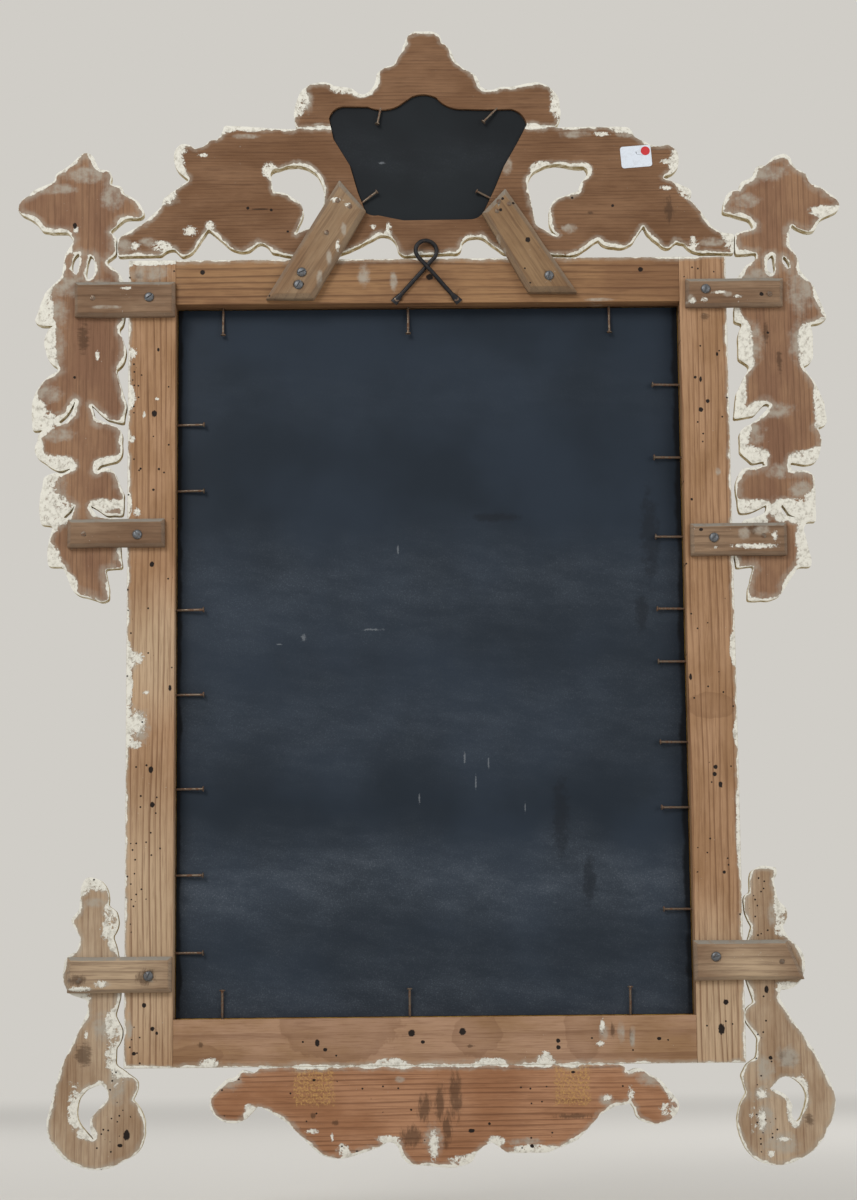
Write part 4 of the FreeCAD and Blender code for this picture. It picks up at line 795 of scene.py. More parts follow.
def worn_copy(name, materials, finish=None, wear=0.7, longest=14.0, sharp=50, sway=0.0,
              hollow=None):
    """Copy of a CAD node with worn arrises; finish gives a face's material from its centre and
    normal, and hollow how deep a vertex lies in the profile's recesses."""
    copy = merged(name)
    bmesh.ops.dissolve_limit(copy, angle_limit=math.radians(1), verts=copy.verts, edges=copy.edges)
    if wear:
        arrises = [edge for edge in copy.edges if len(edge.link_faces) == 2
                   and edge.calc_length() > 3 * mm and edge.calc_face_angle(0) > math.radians(28)]
        bmesh.ops.bevel(copy, geom=arrises, offset=wear * mm, segments=2, affect="EDGES",
                        profile=0.5, clamp_overlap=True)
    cut_at_steps(copy, longest * mm)
    if sway:
        for vertex in copy.verts:
            shift = noise.noise_vector(vertex.co / (30 * mm))
            vertex.co += shift * sway * mm
    copy.normal_update()
    mesh = bpy.data.meshes.new(name + "_worn")
    if finish:
        for face in copy.faces:
            centre = face.calc_center_median()
            spot = ((centre.x - middle_x) / mm, (centre.y - back) / mm, (centre.z - middle_z) / mm)
            face.material_index = finish(spot, face.normal)
    copy.to_mesh(mesh)
    copy.free()
    if hollow:
        mark_points(mesh, "hollow", [hollow(vertex.co) for vertex in mesh.vertices])
    soft_shading(mesh, sharp)
    return new_piece(name + "_worn", mesh, materials, [name])


def stations(name):
    """Head centre and way towards the head of each solid of a node of nails or screws."""
    copy = merged(name)
    waiting = set(copy.verts)
    found = []
    while waiting:
        members, frontier = set(), [waiting.pop()]
        while frontier:
            vertex = frontier.pop()
            members.add(vertex)
            for edge in vertex.link_edges:
                other = edge.other_vert(vertex)
                if other in waiting:
                    waiting.discard(other)
                    frontier.append(other)
        spots = np.array(sorted(tuple(vertex.co) for vertex in members))
        centre = spots.mean(0)
        axis = np.linalg.svd(spots - centre)[2][0]
        along = (spots - centre) @ axis
        spread = np.linalg.norm((spots - centre) - along[:, None] * axis, axis=1)
        if spread[along > along.mean()].max() < spread[along < along.mean()].max():
            axis, along = -axis, -along
        middle = (along.max() + along.min()) / 2
        top = along > middle
        side = (spots - centre) - along[:, None] * axis
        foot = centre + axis * along.min() + side[~top].mean(0)
        head = centre + axis * along.max() + side[top].mean(0)
        found.append((Vector(head), (Vector(head) - Vector(foot)).normalized(),
                      (Vector(head) - Vector(foot)).length))
    copy.free()
    return sorted(found, key=lambda item: (round(item[0].x, 4), round(item[0].z, 4)))


def lathed(profile, sides, top=None):
    """Turned shape about Z from (radius, height) pairs, closed at both ends."""
    turned = bmesh.new()
    rings = []
    for radius, height in profile:
        if radius == 0:
            rings.append([turned.verts.new((0, 0, height))])
            continue
        rings.append([turned.verts.new((radius * math.cos(math.tau * count / sides),
                                        radius * math.sin(math.tau * count / sides), height))
                      for count in range(sides)])
    join_rings(turned, rings)
    return turned


def repeated(name, pattern, places, material, node_names, spread=0.0):
    """Copies of a small shape on points, each turned by its own angles, by Geometry Nodes."""
    points = bpy.data.meshes.new(name + "_points")
    points.from_pydata([tuple(spot) for spot, _ in places], [], [])
    turns = points.attributes.new("turn", "FLOAT_VECTOR", "POINT")
    turns.data.foreach_set("vector", [value for _, turn in places for value in turn])
    carrier = put(name + "_carrier", points)
    tree = bpy.data.node_groups.new(name + "_tree", "GeometryNodeTree")
    tree.interface.new_socket("Geometry", in_out="INPUT", socket_type="NodeSocketGeometry")
    size_socket = tree.interface.new_socket("Size spread", in_out="INPUT",
                                            socket_type="NodeSocketFloat")
    tree.interface.new_socket("Geometry", in_out="OUTPUT", socket_type="NodeSocketGeometry")

    add = partial(add_node, tree)
    entry = add("NodeGroupInput").node
    turn = add("GeometryNodeInputNamedAttribute", {"Name": "turn"}, data_type="FLOAT_VECTOR")
    spread_socket = entry.outputs["Size spread"]
    size = add("FunctionNodeRandomValue", {"Seed": 1}, data_type="FLOAT").node
    in_order = [socket for socket in size.inputs if socket.enabled]
    tree.links.new(add("Math SUBTRACT", 1.0, spread_socket), in_order[0])
    tree.links.new(add("Math ADD", 1.0, spread_socket), in_order[1])
    shape = add("GeometryNodeObjectInfo", {"Object": pattern}, result="Geometry")
    rotation = add("FunctionNodeEulerToRotation", turn)
    scale = [socket for socket in size.outputs if socket.enabled][0]
    copies = add("GeometryNodeInstanceOnPoints",
                 {"Points": entry.outputs["Geometry"], "Instance": shape,
                  "Rotation": rotation, "Scale": scale})
    real = add("GeometryNodeRealizeInstances", {"Geometry": copies})
    painted = add("GeometryNodeSetMaterial", {"Geometry": real, "Material": material})
    add("NodeGroupOutput", {"Geometry": painted})
    modifier = carrier.modifiers.new("copies", "NODES")
    modifier.node_group = tree
    modifier[size_socket.identifier] = spread
    bpy.context.view_layer.update()
    evaluated = carrier.evaluated_get(bpy.context.evaluated_depsgraph_get())
    mesh = bpy.data.meshes.new_from_object(evaluated)
    carrier.modifiers.remove(modifier)
    bpy.data.objects.remove(carrier)
    bpy.data.objects.remove(pattern)
    soft_shading(mesh, 35)
    mesh.name = name
    return new_piece(name, mesh, [] if mesh.materials else [material], node_names)


def standing(way, roll):
    """Angles that turn +Z to a way, after a roll about it."""
    turned = way.to_track_quat("Z", "Y").to_matrix() @ Matrix.Rotation(roll, 3, "Z")
    return tuple(turned.to_euler())


# Finishes of this mirror. Places of patches are across, up, and their half sizes in mm
# Gold leaf on the carving: shines on the ridges, red and brown in the hollows, bare behind
carved_gilding = water_gilding("water_gilding_over_red_bole", edge_depth=-15.0)
# The same gold on the frame's outer sides, with a bare strip at the back
frame_gilding = water_gilding("water_gilding_on_frame_edges", edge_depth=-18.0)
# The same gold on the mouldings, with no bare strip
moulding_gilding = water_gilding("water_gilding_on_mouldings")
# The looking glass from the front: a cool clear reflection with grey foxing
mirror_silver = silvered_glass("silvered_looking_glass")
# Backing paint on the large plate: blue-grey and matt, with pale soft bands, and near-black
# margins of painted shadow along its long sides by the stiles
plate_paint = slate_paint(
    "slate_backing_paint", "1f2832", "27313d", [(250.0, 60.0, 0.08), (62.0, 80.0, 0.34), (-60.0,
    90.0, 0.30), (-212.0, 70.0, 0.66), (-330.0, 90.0, 0.5)],
    """-205 110 10 48, -118 -150 9 42, -143 -208 7 26, -60 130 26 5, -196 40 7 22""",
    """55 25 16 1.6, 118 18 3 5, -30 -95 1.5 9, -40 -118 1.2 12, -52 -100 1.2 9, -85 -142 1 8,
    12 -132 1.2 7, 140 12 4 1.2, 30 100 1.2 10""",
    # near-black margins of painted shadow along the long sides, where the plate meets the stiles
    """237 0 6 400,
    -238 0 8 400""")
# The same paint on the crest's small plate, nearly black and clean
small_plate_paint = slate_paint(
    "slate_backing_paint_on_crest", "171b1f", "1d2226", [(470.0, 40.0, 0.10)], [],
    """42 468 5 2""")

# The crest's back: dark brown wood with close rings and the most spilt gesso
crest_pine = aged_pine(
    "aged_pine_of_crest", "876447 745339 4b301e", 0.0, 3.4, 0.42, 1.3, 0.03, outline_distance,
    chalk="""234 468 7 16, 243 435 7 6, 190 502 9 4, 168 502 10 3, 118 526 6 11, 80 539 9 4,
    60 537 8 4, 50 551 5 8, 252 388 9 4, 203 409 5 4, 150 462 6 8, 36 404 3 9, -235 466 6 9,
    -244 436 6 5, -122 524 5 12, -188 499 10 4, -106 462 8 6, -150 458 5 6, -40 391 5 4,
    -252 388 5 5, -286 388 8 6""",
    film="""284 388 9 9, 262 392 9 5, 100 505 11 2, -106 500 7 2, -140 494 16 4, -190 494 12 4,
    -76 464 6 9, -134 402 8 5, 242 434 10 7, 170 494 14 3, -268 388 14 5, 112 528 6 12""",
    daubs="""223 402 7 5, 211 476 5 2, 231 480 6 2.6, 274 388 4.6 4.2, 113 530 3 8, 250 391 8 2.2,
    -166 494 8 2.6, -228 467 8 3, -226 441 6 2.4, -120 518 3.4 3.4, 51 405 3 2.6,
    -250 391 3 3.6""",
    nail_holes="""168.5 424 1.6 1.6, 146.5 422 1.4 1.4, -175 424 1.4 1.4, 157 423 8 0.5,
    -137 432 1.2 1.2, 131 401 1.2 1.2""",
    stains="""-228 420 5 14, -154 417 4 2,
    60 540 16 3""")
# The garlands' backs: red-brown wood, half of it under white gesso
side_pine = aged_pine(
    "aged_pine_of_garlands", "9a7658 84614a 593c2a", upright, 5.2, 0.42, 5.1, 0.04,
    outline_distance, rim_mm=1.5, spread_mm=17.0, film_mm=7.0, flecks=0.8,
    chalk="""358 326 10 14, 354 291 7 20, 362 224 14 13, 345 181 17 8, 364 194 5 8, 352 142 15 20,
    296 180 12 6, 333 68 6 7, 300 142 12 5, 350 94 8 8, -288 314 6 7, -296 289 10 18,
    -352 288 8 18, -288 236 8 18, -303 226 9 7, -366 230 7 16, -300 184 14 9, -352 182 14 7,
    -292 203 7 10, -300 134 14 7, -348 132 16 13, -324 130 7 9, -344 100 7 14, -302 120 12 5,
    -372 418 14 5""",
    film="""318 458 26 9, 296 436 12 14, 352 444 26 6, 330 350 34 12, 352 322 16 20, 350 291 12 20,
    356 246 16 10, 346 208 18 8, 350 150 16 22, -318 455 26 9, -300 428 14 8, -309 355 20 9,
    -300 290 14 24, -350 290 14 24, -322 226 20 8, -300 205 14 14, -324 168 12 8, -346 150 14 10,
    -324 132 12 12, -350 340 14 24""",
    daubs="""309 283 2 5, 300 330 4 2, 330 404 3 3""",
    nail_holes="""331 408 2 3, -318 300 1.2 1.2, 330 262 1.4 1.4""",
    stains="""322 300 6 16, -316 300 3 12,
    -328 274 3 12""")
# The scrolls' backs: bleached grey wood, full of worm holes, with broken gesso
scroll_pine = aged_pine(
    "aged_pine_of_scrolls", "bda68b 9c8064 6b4c36", upright, 6.0, 0.42, 9.4, 0.12,
    outline_distance, rim_mm=1.1,
    chalk="""310 -206 14 10, 298 -246 7 14, 291 -262 4 6, 322 -308 12 4, 293 -338 8 14,
    294 -362 5 12, 286 -378 6 14, 326 -388 6 5, 326 -408 5 20, 301 -396 5 9, 314 -432 9 5,
    -312 -240 5 12, -313 -256 6 6, -316 -306 8 4, -321 -418 5 12, -330 -398 4 14,
    -287 -424 6 16""",
    film="""306 -226 14 5, 286 -386 9 22, 300 -338 10 16, -310 -240 8 16, -294 -402 9 8,
    -296 -424 9 18, -310 -446 18 10, -297 -380 9 14, -318 -370 12 12""",
    daubs="""297 -250 3.4 9, 292 -338 5 11, 314 -344 2 4, 286 -372 4 7, -312 -238 3 8,
    -293 -402 5 5, -293 -425 4 11, -312 -442 6 2.4, -300 -455 3.4 3.4""",
    nail_holes="""277 -433 3 5, 283 -442 2.4 1.6, -300 -309 2 3.4, -302 -370 1.8 1.8""",
    eaten="""288 -386 10 22, 286 -428 15 22, -297 -216 13 20, -293 -244 12 24, -295 -316 10 16,
    -292 -344 9 20, -294 -384 11 26, -297 -432 12 26""",
    stains="""316 -362 8 12, -318 -370 9 9,
    -335 -425 5 6""")
# The apron's back: orange-brown wood with strong rings, stains and two scars of glue
apron_pine = aged_pine(
    "aged_pine_of_apron", "b58664 9c6d4c 66412b", 0.0, 5.2, 0.7, 3.7, 0.14, outline_distance,
    chalk="""168 -412 5 6, 84 -446 6 5, 44 -438 12 3, -30 -456 18 4, -56 -440 8 4, -205 -414 8 6,
    -176 -398 4 6, -85 -447 14 3, -213 -398 5 10""",
    film="""186 -386 14 9, -194 -386 16 9, 32 -386 5 3, 2 -440 9 16, -154 -406 8 6,
    -80 -442 16 4""",
    daubs="""2 -444 4.6 14, 111 -431 6 2.4, 93 -436 1.6 4, 84 -445 3 3, -154 -404 4 3.4,
    168 -411 3.4 4""",
    nail_holes="""-32 -432 3 1.8, 109 -386 1.6 1.2, -124 -381 1.8 1.2, -86 -446 1.8 1.8,
    -48 -426 1.3 1.3, 22 -413 1 1""",
    stains="""-18 -400 7 24, -4 -408 5 20, 10 -412 7 14, -10 -430 5 18, 22 -437 12 10, 90 -424 4 3,
    110 -417 2.4 3, -123 -420 18 2.6""",
    glue="""109 -391 18 17, -123 -392 16 18""")
# The stiles: upright orange-brown rings, nail holes, and gesso down their outer edges
stile_pine = aged_pine(
    "aged_pine_of_stiles", "b28c6a 9d7856 69462c", upright, 5.6, 0.7, 2.2, 0.16, frame_distance,
    rim_mm=0.9, film_mm=3.0,
    film="""262 362 22 11, 270 -66 12 20, 276 -4 7 14, -268 168 3 4, 276 -338 4 14,
    -279 -165 4 34""",
    chalk="""279 -2 8 11, 278 -28 4 14, 272 -64 12 16, 278 243 4 9, 279 140 3 8, 262 372 22 3,
    -280 -165 3 30, -278 2 3 12, -279 -76 3 8""",
    daubs="""276 285 4 6, 276 242 3.6 6, 276 203 2.8 4, 265 226 1.4 3.6, 253 241 2.2 1.4,
    271 134 3.6 4, 270 -62 9 11, 272 -82 7 4, 270 -2 6 6, 262 -34 3 2""",
    nail_holes="""255.5 227 2.6 3.2, 252 288 1.2 1.8, 268 175 1.1 1.1, 251 174.5 1.1 1.1,
    256 155 1.2 1.2, 257 85 2.2 2.6, 257 -105 2.2 3.2, 255.5 -137 2.2 2.8, 261 -101 1 1,
    266 -129 1 1, 240 -30 1.4 3, 262 -318 2 2.2, 254.5 -339 2 2, 250.5 -343 1.3 1.5,
    271 -361 1.8 1.8, -249 258 1.4 1.4, -254 256 1.2 2.8, -260 235 1.8 2, -253.5 227 2.2 2.4,
    -270 280 1.1 1.8, -243 142 1.2 1.2, -238 -24 1.4 3, -259 -107 2 2.1, -258 -113.5 2 2.1,
    -263 -123 1.9 2.8, -264.5 -203 1.6 1.6, -263 -320 2.4 2.6, -258.5 -344 3 5""",
    eaten="""273 262 7 22, 275 -215 7 55, 272 -345 8 22""",
    tides="""-256 -50 24 12""",
    stains="""270 359 4 4, -260 316 5 4""",
    bleached="""258 -250 50 150, -258 -330 40 90,
    258 0 40 60""")
# The top rail: the same wood a little darker, nearly clean
top_rail_pine = aged_pine(
    "aged_pine_of_top_rail", "9f7953 876345 563825", 0.0, 7.2, 0.7, 6.6, 0.04, frame_distance,
    rim_mm=0.8,
    film="""60 358 6 12, 32 352 4 10, -160 333 14 2""",
    nail_holes="""211 362 2.4 2.4, -200 362 2.4 2.4, -2 356 3.4 3""",
    stains="""90 388 4 5""", flecks=0.3)
# The bottom rail: wood cut flat to its rings, so broad and plain, with water stains
bottom_rail_pine = aged_pine(
    "aged_pine_of_bottom_rail", "b18d71 9a7756 6d4932", 0.0, 19.0, 0.42, 12.9, 0.1, frame_distance,
    rim_mm=1.0,
    film="""-168 -346 4 10, -178 -350 3 9, -152 -345 5 9""",
    chalk="""203 -368 8 4, 40 -370 10 3, -50 -370 10 3, -100 -368 7 5""",
    daubs="""-151 -340 2.4 6, -149 -356 4 3, -100 -364 4 2.4""",
    nail_holes="""106 -353 2.2 3.4, 99 -359 2 1.6, 21 -345 3.2 3.2, -25 -344 3.2 3.2,
    11 -353 1.8 1.8, -111 -353 2 2, -111 -359 2 2, -202 -352 2 1.6, 119 -352 1 1""",
    tides="""85 -342 54 28, -38 -344 20 24, -134 -340 18 30, 216 -364 26 10""",
    stains="""-32 -357 4 1.6, 211 -354 3 3, -160 -344 2.4 8, -177 -350 2.4 9""")
# The battens: grey-brown sawn wood, dusty on top, with gesso splashes
batten_pine = aged_pine(
    "aged_pine_of_battens", "967b61 7c6049 4e3827", 0.0, 8.0, 0.42, 14.2, 0.06,
    film="""-246 332 4 4, -238 328 7 2, -305 111 9 5, -290 108 6 6, 318 -303 12 2, 295 -299 5 3,
    -280 335 5 3, 300 327 16 2""",
    nail_holes="""313 335 2 2, -312 335 2 2, 319 112 2 2, -250 112 2 1.6""",
    daubs="""-258.5 330 3.2 2.4, -247 329 3.4 3, -272 337 7 1.6, -290 333 4 1.6, -263 95 1.6 1.4,
    -300 96 22 2.6, -318 106 3 5, 320 -303 12 2.4, 301 -299 6 3.4, 282 345 5 1.6""",
    stains="""322 -295 9 6, 260 -293 9 8, -300 112 9 5""",
    bleached="""285 -290 60 26, -285 -290 40 20""", dusty_tops=True, rim_mm=0.4, film_mm=1.0)
# The braces: grey-brown sawn wood that runs at a slant, dusty on top
right_brace_pine = aged_pine(
    "aged_pine_of_right_brace", "9a8164 86684c 5a4130", math.radians(-57), 9.0, 0.4, 4.4, 0.08,
    film="""101 352 3 9, 92 372 3 9, 78 400 3 8""",
    daubs="""86 428 5 2.6, 74 423 3 2, 84 384 2 7""",
    nail_holes="""84 428 1.5 1.5, 72 422 1.6 1.6, 94 397 1.7 1.7, 120.6 347 5 3.6""",
    dusty_tops=True, rim_mm=0.4, film_mm=1.0)
left_brace_pine = aged_pine(
    "aged_pine_of_left_brace", "957857 7b5e42 573c28", math.radians(57), 9.0, 0.4, 8.8, 0.08,
    film="""-66 388 3 7, -72 376 2 6""",
    nail_holes="""-94 388 2.4 2.6, -71 428 1.4 1.4, -81 424 1.4 1.4, -69 417 1.5 1.5""",
    dusty_tops=True, rim_mm=0.4, film_mm=1.0, flecks=0.3)
# Cut nails: dull brown iron, half rusted
nail_iron = old_iron("rusted_cut_nail_iron", "75685a", "6b4c38", 0.42, 0.36, 0.7)
# Screws: grey dull steel with little rust
screw_steel = old_iron("dull_slotted_screw_steel", "6c6f73", "55483e", 0.25, 0.42, 0.75)
# The loop: black forged iron, nearly free of rust
loop_iron = old_iron("black_forged_iron", "1f2024", "3a2f28", 0.25, 0.45, 0.5)
# Label: cool white coated paper, the brightest flat spot
label_stock = coated_paper("white_label_paper", "dfe7f1", "c9cdd2")
# Dot: red coated paper, the only strong colour
dot_stock = coated_paper("red_dot_paper", "cb2e32", "a82428")

# Carved boards
crest_names = ["crest_main_board", "crest_right_shoulder", "crest_left_shoulder",
               "crest_centre_block"]
crest_outlines = [board_outline(name) for name in crest_names]


def open_rim(marks):
    return marks == {"back"}


def carved_rim(marks):
    return marks in ({"back"}, {"ledge"})


crest_rim = np.concatenate([stretches(outline, open_rim) for outline in crest_outlines])
crest_carving = np.concatenate([stretches(outline, carved_rim) for outline in crest_outlines])
for outline in crest_outlines:
    carved_board(outline, crest_rim, crest_carving, crest_veins,
                 [crest_pine, carved_gilding])
for name, pine, veins in (
        ("right_garland", side_pine, leaf_veins), ("left_garland", side_pine, leaf_veins),
        ("right_scroll", scroll_pine, following_flutes),
        ("left_scroll", scroll_pine, following_flutes),
        ("apron_board", apron_pine, following_flutes)):
    outline = board_outline(name)
    carved_board(outline, stretches(outline, open_rim), stretches(outline, carved_rim), veins,
                 [pine, carved_gilding])


# Carcass frame
def frame_finish(spot, normal):
    """Outer sides of the frame are gessoed and gilded, the rest is bare."""
    outer = abs(spot[0]) > half_width - 1.0 and abs(normal.x) > 0.5
    return int(outer or (abs(spot[2]) > half_height - 1.0 and abs(normal.z) > 0.5))


for name, pine in (("frame_right_stile", stile_pine), ("frame_left_stile", stile_pine),
                   ("frame_top_rail", top_rail_pine), ("frame_bottom_rail", bottom_rail_pine)):
    worn_copy(name, [pine, frame_gilding], frame_finish, wear=0.6, longest=16.0)
for side, brace_pine in (("right", right_brace_pine), ("left", left_brace_pine)):
    for height in ("upper", "middle", "lower"):
        worn_copy(f"{side}_{height}_batten", [batten_pine], wear=0.7, longest=8.0,
                  sway=0.5)
    worn_copy(side + "_brace", [brace_pine], wear=0.8, longest=9.0, sway=0.5)

# Gilt mouldings: dirt settles in the recesses; leaves lie on the slope and pearls on the bead
moulding_width = 52.0
recesses = [(0.16, 0.7), (0.43, 0.3), (0.76, 0.9), (0.92, 0.6)]
leaf_from, leaf_to, leaf_half_width, leaf_rise, leaf_pitch = 23.0, 38.6, 7.6, 2.0, 16.2
pearl_across, pearl_radius, pearl_pitch = 43.7, 3.0, 6.5


def moulding_hollow(spot):
    from_side = half_width - abs(spot.x - middle_x) / mm
    from_end = half_height - abs(spot.z - middle_z) / mm
    share = min(from_side, from_end) / moulding_width
    return max(depth * math.exp(-((share - recess) / 0.035) ** 2) for recess, depth in recesses)


for side in ("top", "left", "bottom", "right"):
    worn_copy("gilt_moulding_" + side, [moulding_gilding], wear=0, longest=20.0,
              sharp=38, hollow=moulding_hollow)
profile_tree = BVHTree.FromBMesh(merged("gilt_moulding_top"))


def moulding_front(across):
    """How far the moulding stands before the frame's back, at a width from its outer edge."""
    start = place(3.0, well_in_front, half_height - across)
    hit = profile_tree.ray_cast(start, Vector((0, 1, 0)))[0]
    return (back - hit.y) / mm


def round_the_frame(across, pitch, corner_gap):
    """Places along the four mouldings' outer edges and turns about Y, a pitch apart at a width;
    a corner gap of 0 sets one in each corner."""
    places = []
    for turn in (0, 90, 180, 270):
        half_length, offset = (half_height, half_width) if turn % 180 else (half_width,
                               half_height)
        reach = half_length - across - corner_gap
        count = round(2 * reach / pitch)
        cosine, sine = round(math.cos(math.radians(turn))), round(math.sin(math.radians(turn)))
        for step in range(count + (corner_gap > 0)):
            along = -reach + 2 * reach * step / count
            places.append((place(along * cosine + offset * sine, 0, offset * cosine - along *
                          sine), (0, math.radians(turn), 0)))
    return places


def patterned(name, spots, faces, hollows):
    """Small shape for repeating, in millimetres, with its hollows marked."""
    mesh = bpy.data.meshes.new(name)
    mesh.from_pydata([Vector(spot) * mm for spot in spots], [], faces)
    turn_outwards(mesh)
    mark_points(mesh, "hollow", hollows)
    return put(name, mesh)


def moulding_leaf():
    """Water leaf that lies down the slope of the moulding, its rim sunk into the wood."""
    wide, deep = 8, 6
    spots, hollows = [], []
    for row in range(deep + 1):
        along = row / deep
        across = leaf_from + (leaf_to - leaf_from) * along
        half = leaf_half_width * max(math.sin(math.pi * (0.2 + 0.8 * along)), 0.04) ** 0.7
        for column in range(wide + 1):
            side = 2 * column / wide - 1
            rim = row in (0, deep) or column in (0, wide)
            swell = leaf_rise * (1 - abs(side) ** 2.5) * (0.6 + 0.4 * math.sin(math.pi * along))
            swell += 0.5 * math.cos(9 * abs(side)) * (1 - abs(side)) - 0.9 * math.exp(-(side / 0.2)
                                    ** 2)
            bow = across - 1.6 * abs(side) * (1 - along)
            spots.append((side * half, -moulding_front(bow) - (-0.5 if rim else swell), -bow))
            hollows.append(0.9 if rim else 0.3 - 0.4 * swell / leaf_rise)
    faces = [(row * (wide + 1) + column, row * (wide + 1) + column + 1,
              (row + 1) * (wide + 1) + column + 1, (row + 1) * (wide + 1) + column)
             for row in range(deep) for column in range(wide)]
    rim = ([column for column in range(wide + 1)]
           + [row * (wide + 1) + wide for row in range(1, deep + 1)]
           + [deep * (wide + 1) + column for column in range(wide - 1, -1, -1)]
           + [row * (wide + 1) for row in range(deep - 1, 0, -1)])
    return patterned("moulding_leaf_pattern", spots, faces + [tuple(rim)], hollows)


def moulding_pearl():
    """Pearl carved out of the bead near the sight edge."""
    around, rows = 10, 6
    centre = -moulding_front(pearl_across) + 0.9
    spots = [(0, centre, -pearl_across - pearl_radius)]
    for row in range(1, rows):
        polar = math.pi * row / rows
        for step in range(around):
            turn = math.tau * step / around
            spots.append((pearl_radius * math.sin(polar) * math.cos(turn),
                          centre + pearl_radius * math.sin(polar) * math.sin(turn),
                          -pearl_across - pearl_radius * math.cos(polar)))
    spots.append((0, centre, -pearl_across + pearl_radius))
    last = len(spots) - 1
    faces = [(0, 1 + step, 1 + (step + 1) % around) for step in range(around)]
    faces += [(1 + row * around + step, 1 + (row + 1) * around + step, 1 + (row + 1) * around +
              (step + 1) % around, 1 + row * around + (step + 1) % around) for row in
              range(rows - 2) for step in range(around)]
    faces += [(last, last - around + (step + 1) % around, last - around + step) for step in
              range(around)]
    hollows = [0.9 if spot[1] > centre - 0.4 * pearl_radius else -0.2 for spot in spots]
    return patterned("moulding_pearl_pattern", spots, faces, hollows)


repeated("moulding_leaves", moulding_leaf(), round_the_frame(30.0, leaf_pitch, 9.0),
         moulding_gilding, [], 0.0)
repeated("moulding_pearls", moulding_pearl(), round_the_frame(pearl_across, pearl_pitch, 0),
         moulding_gilding, [], 0.0)

# Mirror plates: silvered in front, painted behind
def plate_finish(spot, normal):
    return 0 if normal.y < -0.5 else 1


worn_copy("mirror_plate", [mirror_silver, plate_paint], plate_finish,
          wear=0.5, longest=60.0)
worn_copy("crest_mirror_plate", [mirror_silver, small_plate_paint], plate_finish,
          wear=0, longest=400.0, sharp=0)

# Nails and screws
rolls = random.Random(7)


def nail_pattern(name, shank, head, thickness, length):
    """Cut nail with a slightly domed, uneven round head at the origin and its point below."""
    shape = lathed([(0, -length), (0.35 * shank, -length + 2), (shank, -length * 0.6),
                   (shank, -thickness), (0.8 * head, -thickness), (head, -0.7 * thickness),
                   (0.96 * head, -0.3 * thickness), (0.6 * head, -0.06 * thickness), (0, 0)], 14)
    for vertex in shape.verts:
        if vertex.co.z > -thickness * 1.01:
            shift = noise.noise_vector(vertex.co * 0.45)
            vertex.co += Vector((shift.x, shift.y, 0.2 * shift.z)) * 0.35
    bmesh.ops.scale(shape, vec=(mm, mm, mm), verts=shape.verts)
    return put(name, as_mesh(shape, name))


def place_nails(name, node_name, shank, head, thickness, length, lean=0.0):
    """Nails of a node; a lean lifts their heads off the glass about their points."""
    pattern = nail_pattern(name + "_pattern", shank, head, thickness, length)
    places = []
    for spot, way, reach in stations(node_name):
        leaning = (way + Vector((0, lean * rolls.uniform(0.6, 1.2), 0))).normalized()
        places.append((spot + (leaning - way) * reach, standing(leaning, rolls.uniform(0, 6.28))))
    repeated(name, pattern, places, nail_iron, [node_name], 0.04)


place_nails("plate_nails_rusted", "mirror_plate_nails", 1.15, 2.6, 1.5, 38.0, 0.07)
place_nails("crest_plate_nails_rusted", "crest_plate_nails", 1.1, 2.4, 1.4, 26.0, 0.07)
place_nails("batten_nails_rusted", "batten_nails", 1.1, 2.4, 0.7, 18.0)
place_nails("brace_nails_rusted", "brace_nails", 1.1, 2.2, 0.7, 20.0)
place_nails("loop_nails_rusted", "hanging_loop_nails", 1.1, 2.4, 0.8, 11.0)


def screw_pattern(name, radius, height, shank, length):
    """Round-headed wood screw with a filed slot across its head."""
    shape = lathed([(0, -length), (shank, -length + 3), (shank, -height), (0.9 * radius, -height),
                    (radius, -0.85 * height), (0.97 * radius, -0.55 * height),
                    (0.8 * radius, -0.2 * height), (0.5 * radius, -0.04 * height), (0, 0)], 28)
    bmesh.ops.scale(shape, vec=(mm, mm, mm), verts=shape.verts)
    head = put(name, as_mesh(shape, name))
    slot = bmesh.new()
    bmesh.ops.create_cube(slot, size=1.0)
    bmesh.ops.scale(slot, vec=(3 * radius * mm, 1.3 * mm, 2 * 0.55 * height * mm),
                    verts=slot.verts)
    cutter = put(name + "_slot", as_mesh(slot, name + "_slot"))
    cut = head.modifiers.new("slot", "BOOLEAN")
    cut.operation = "DIFFERENCE"
    cut.solver = "EXACT"
    cut.object = cutter
    bpy.context.view_layer.update()
    evaluated = head.evaluated_get(bpy.context.evaluated_depsgraph_get())
    done = bpy.data.meshes.new_from_object(evaluated)
    head.modifiers.remove(cut)
    head.data = done
    bpy.data.objects.remove(cutter)
    return head


slot_angles = {"batten_screws": [0.9, 1.4, 0.2, 1.15, 0.6, 2.2], "brace_screws": [1.3, 0.4, 1.1]}
for node_name, angles in slot_angles.items():
    places = [(spot, standing(way, angle)) for (spot, way, _), angle in
              zip(stations(node_name), angles)]
    repeated(node_name + "_slotted", screw_pattern(node_name + "_pattern", 4.5, 2.4, 2.2, 24.0),
             places, screw_steel, [node_name])


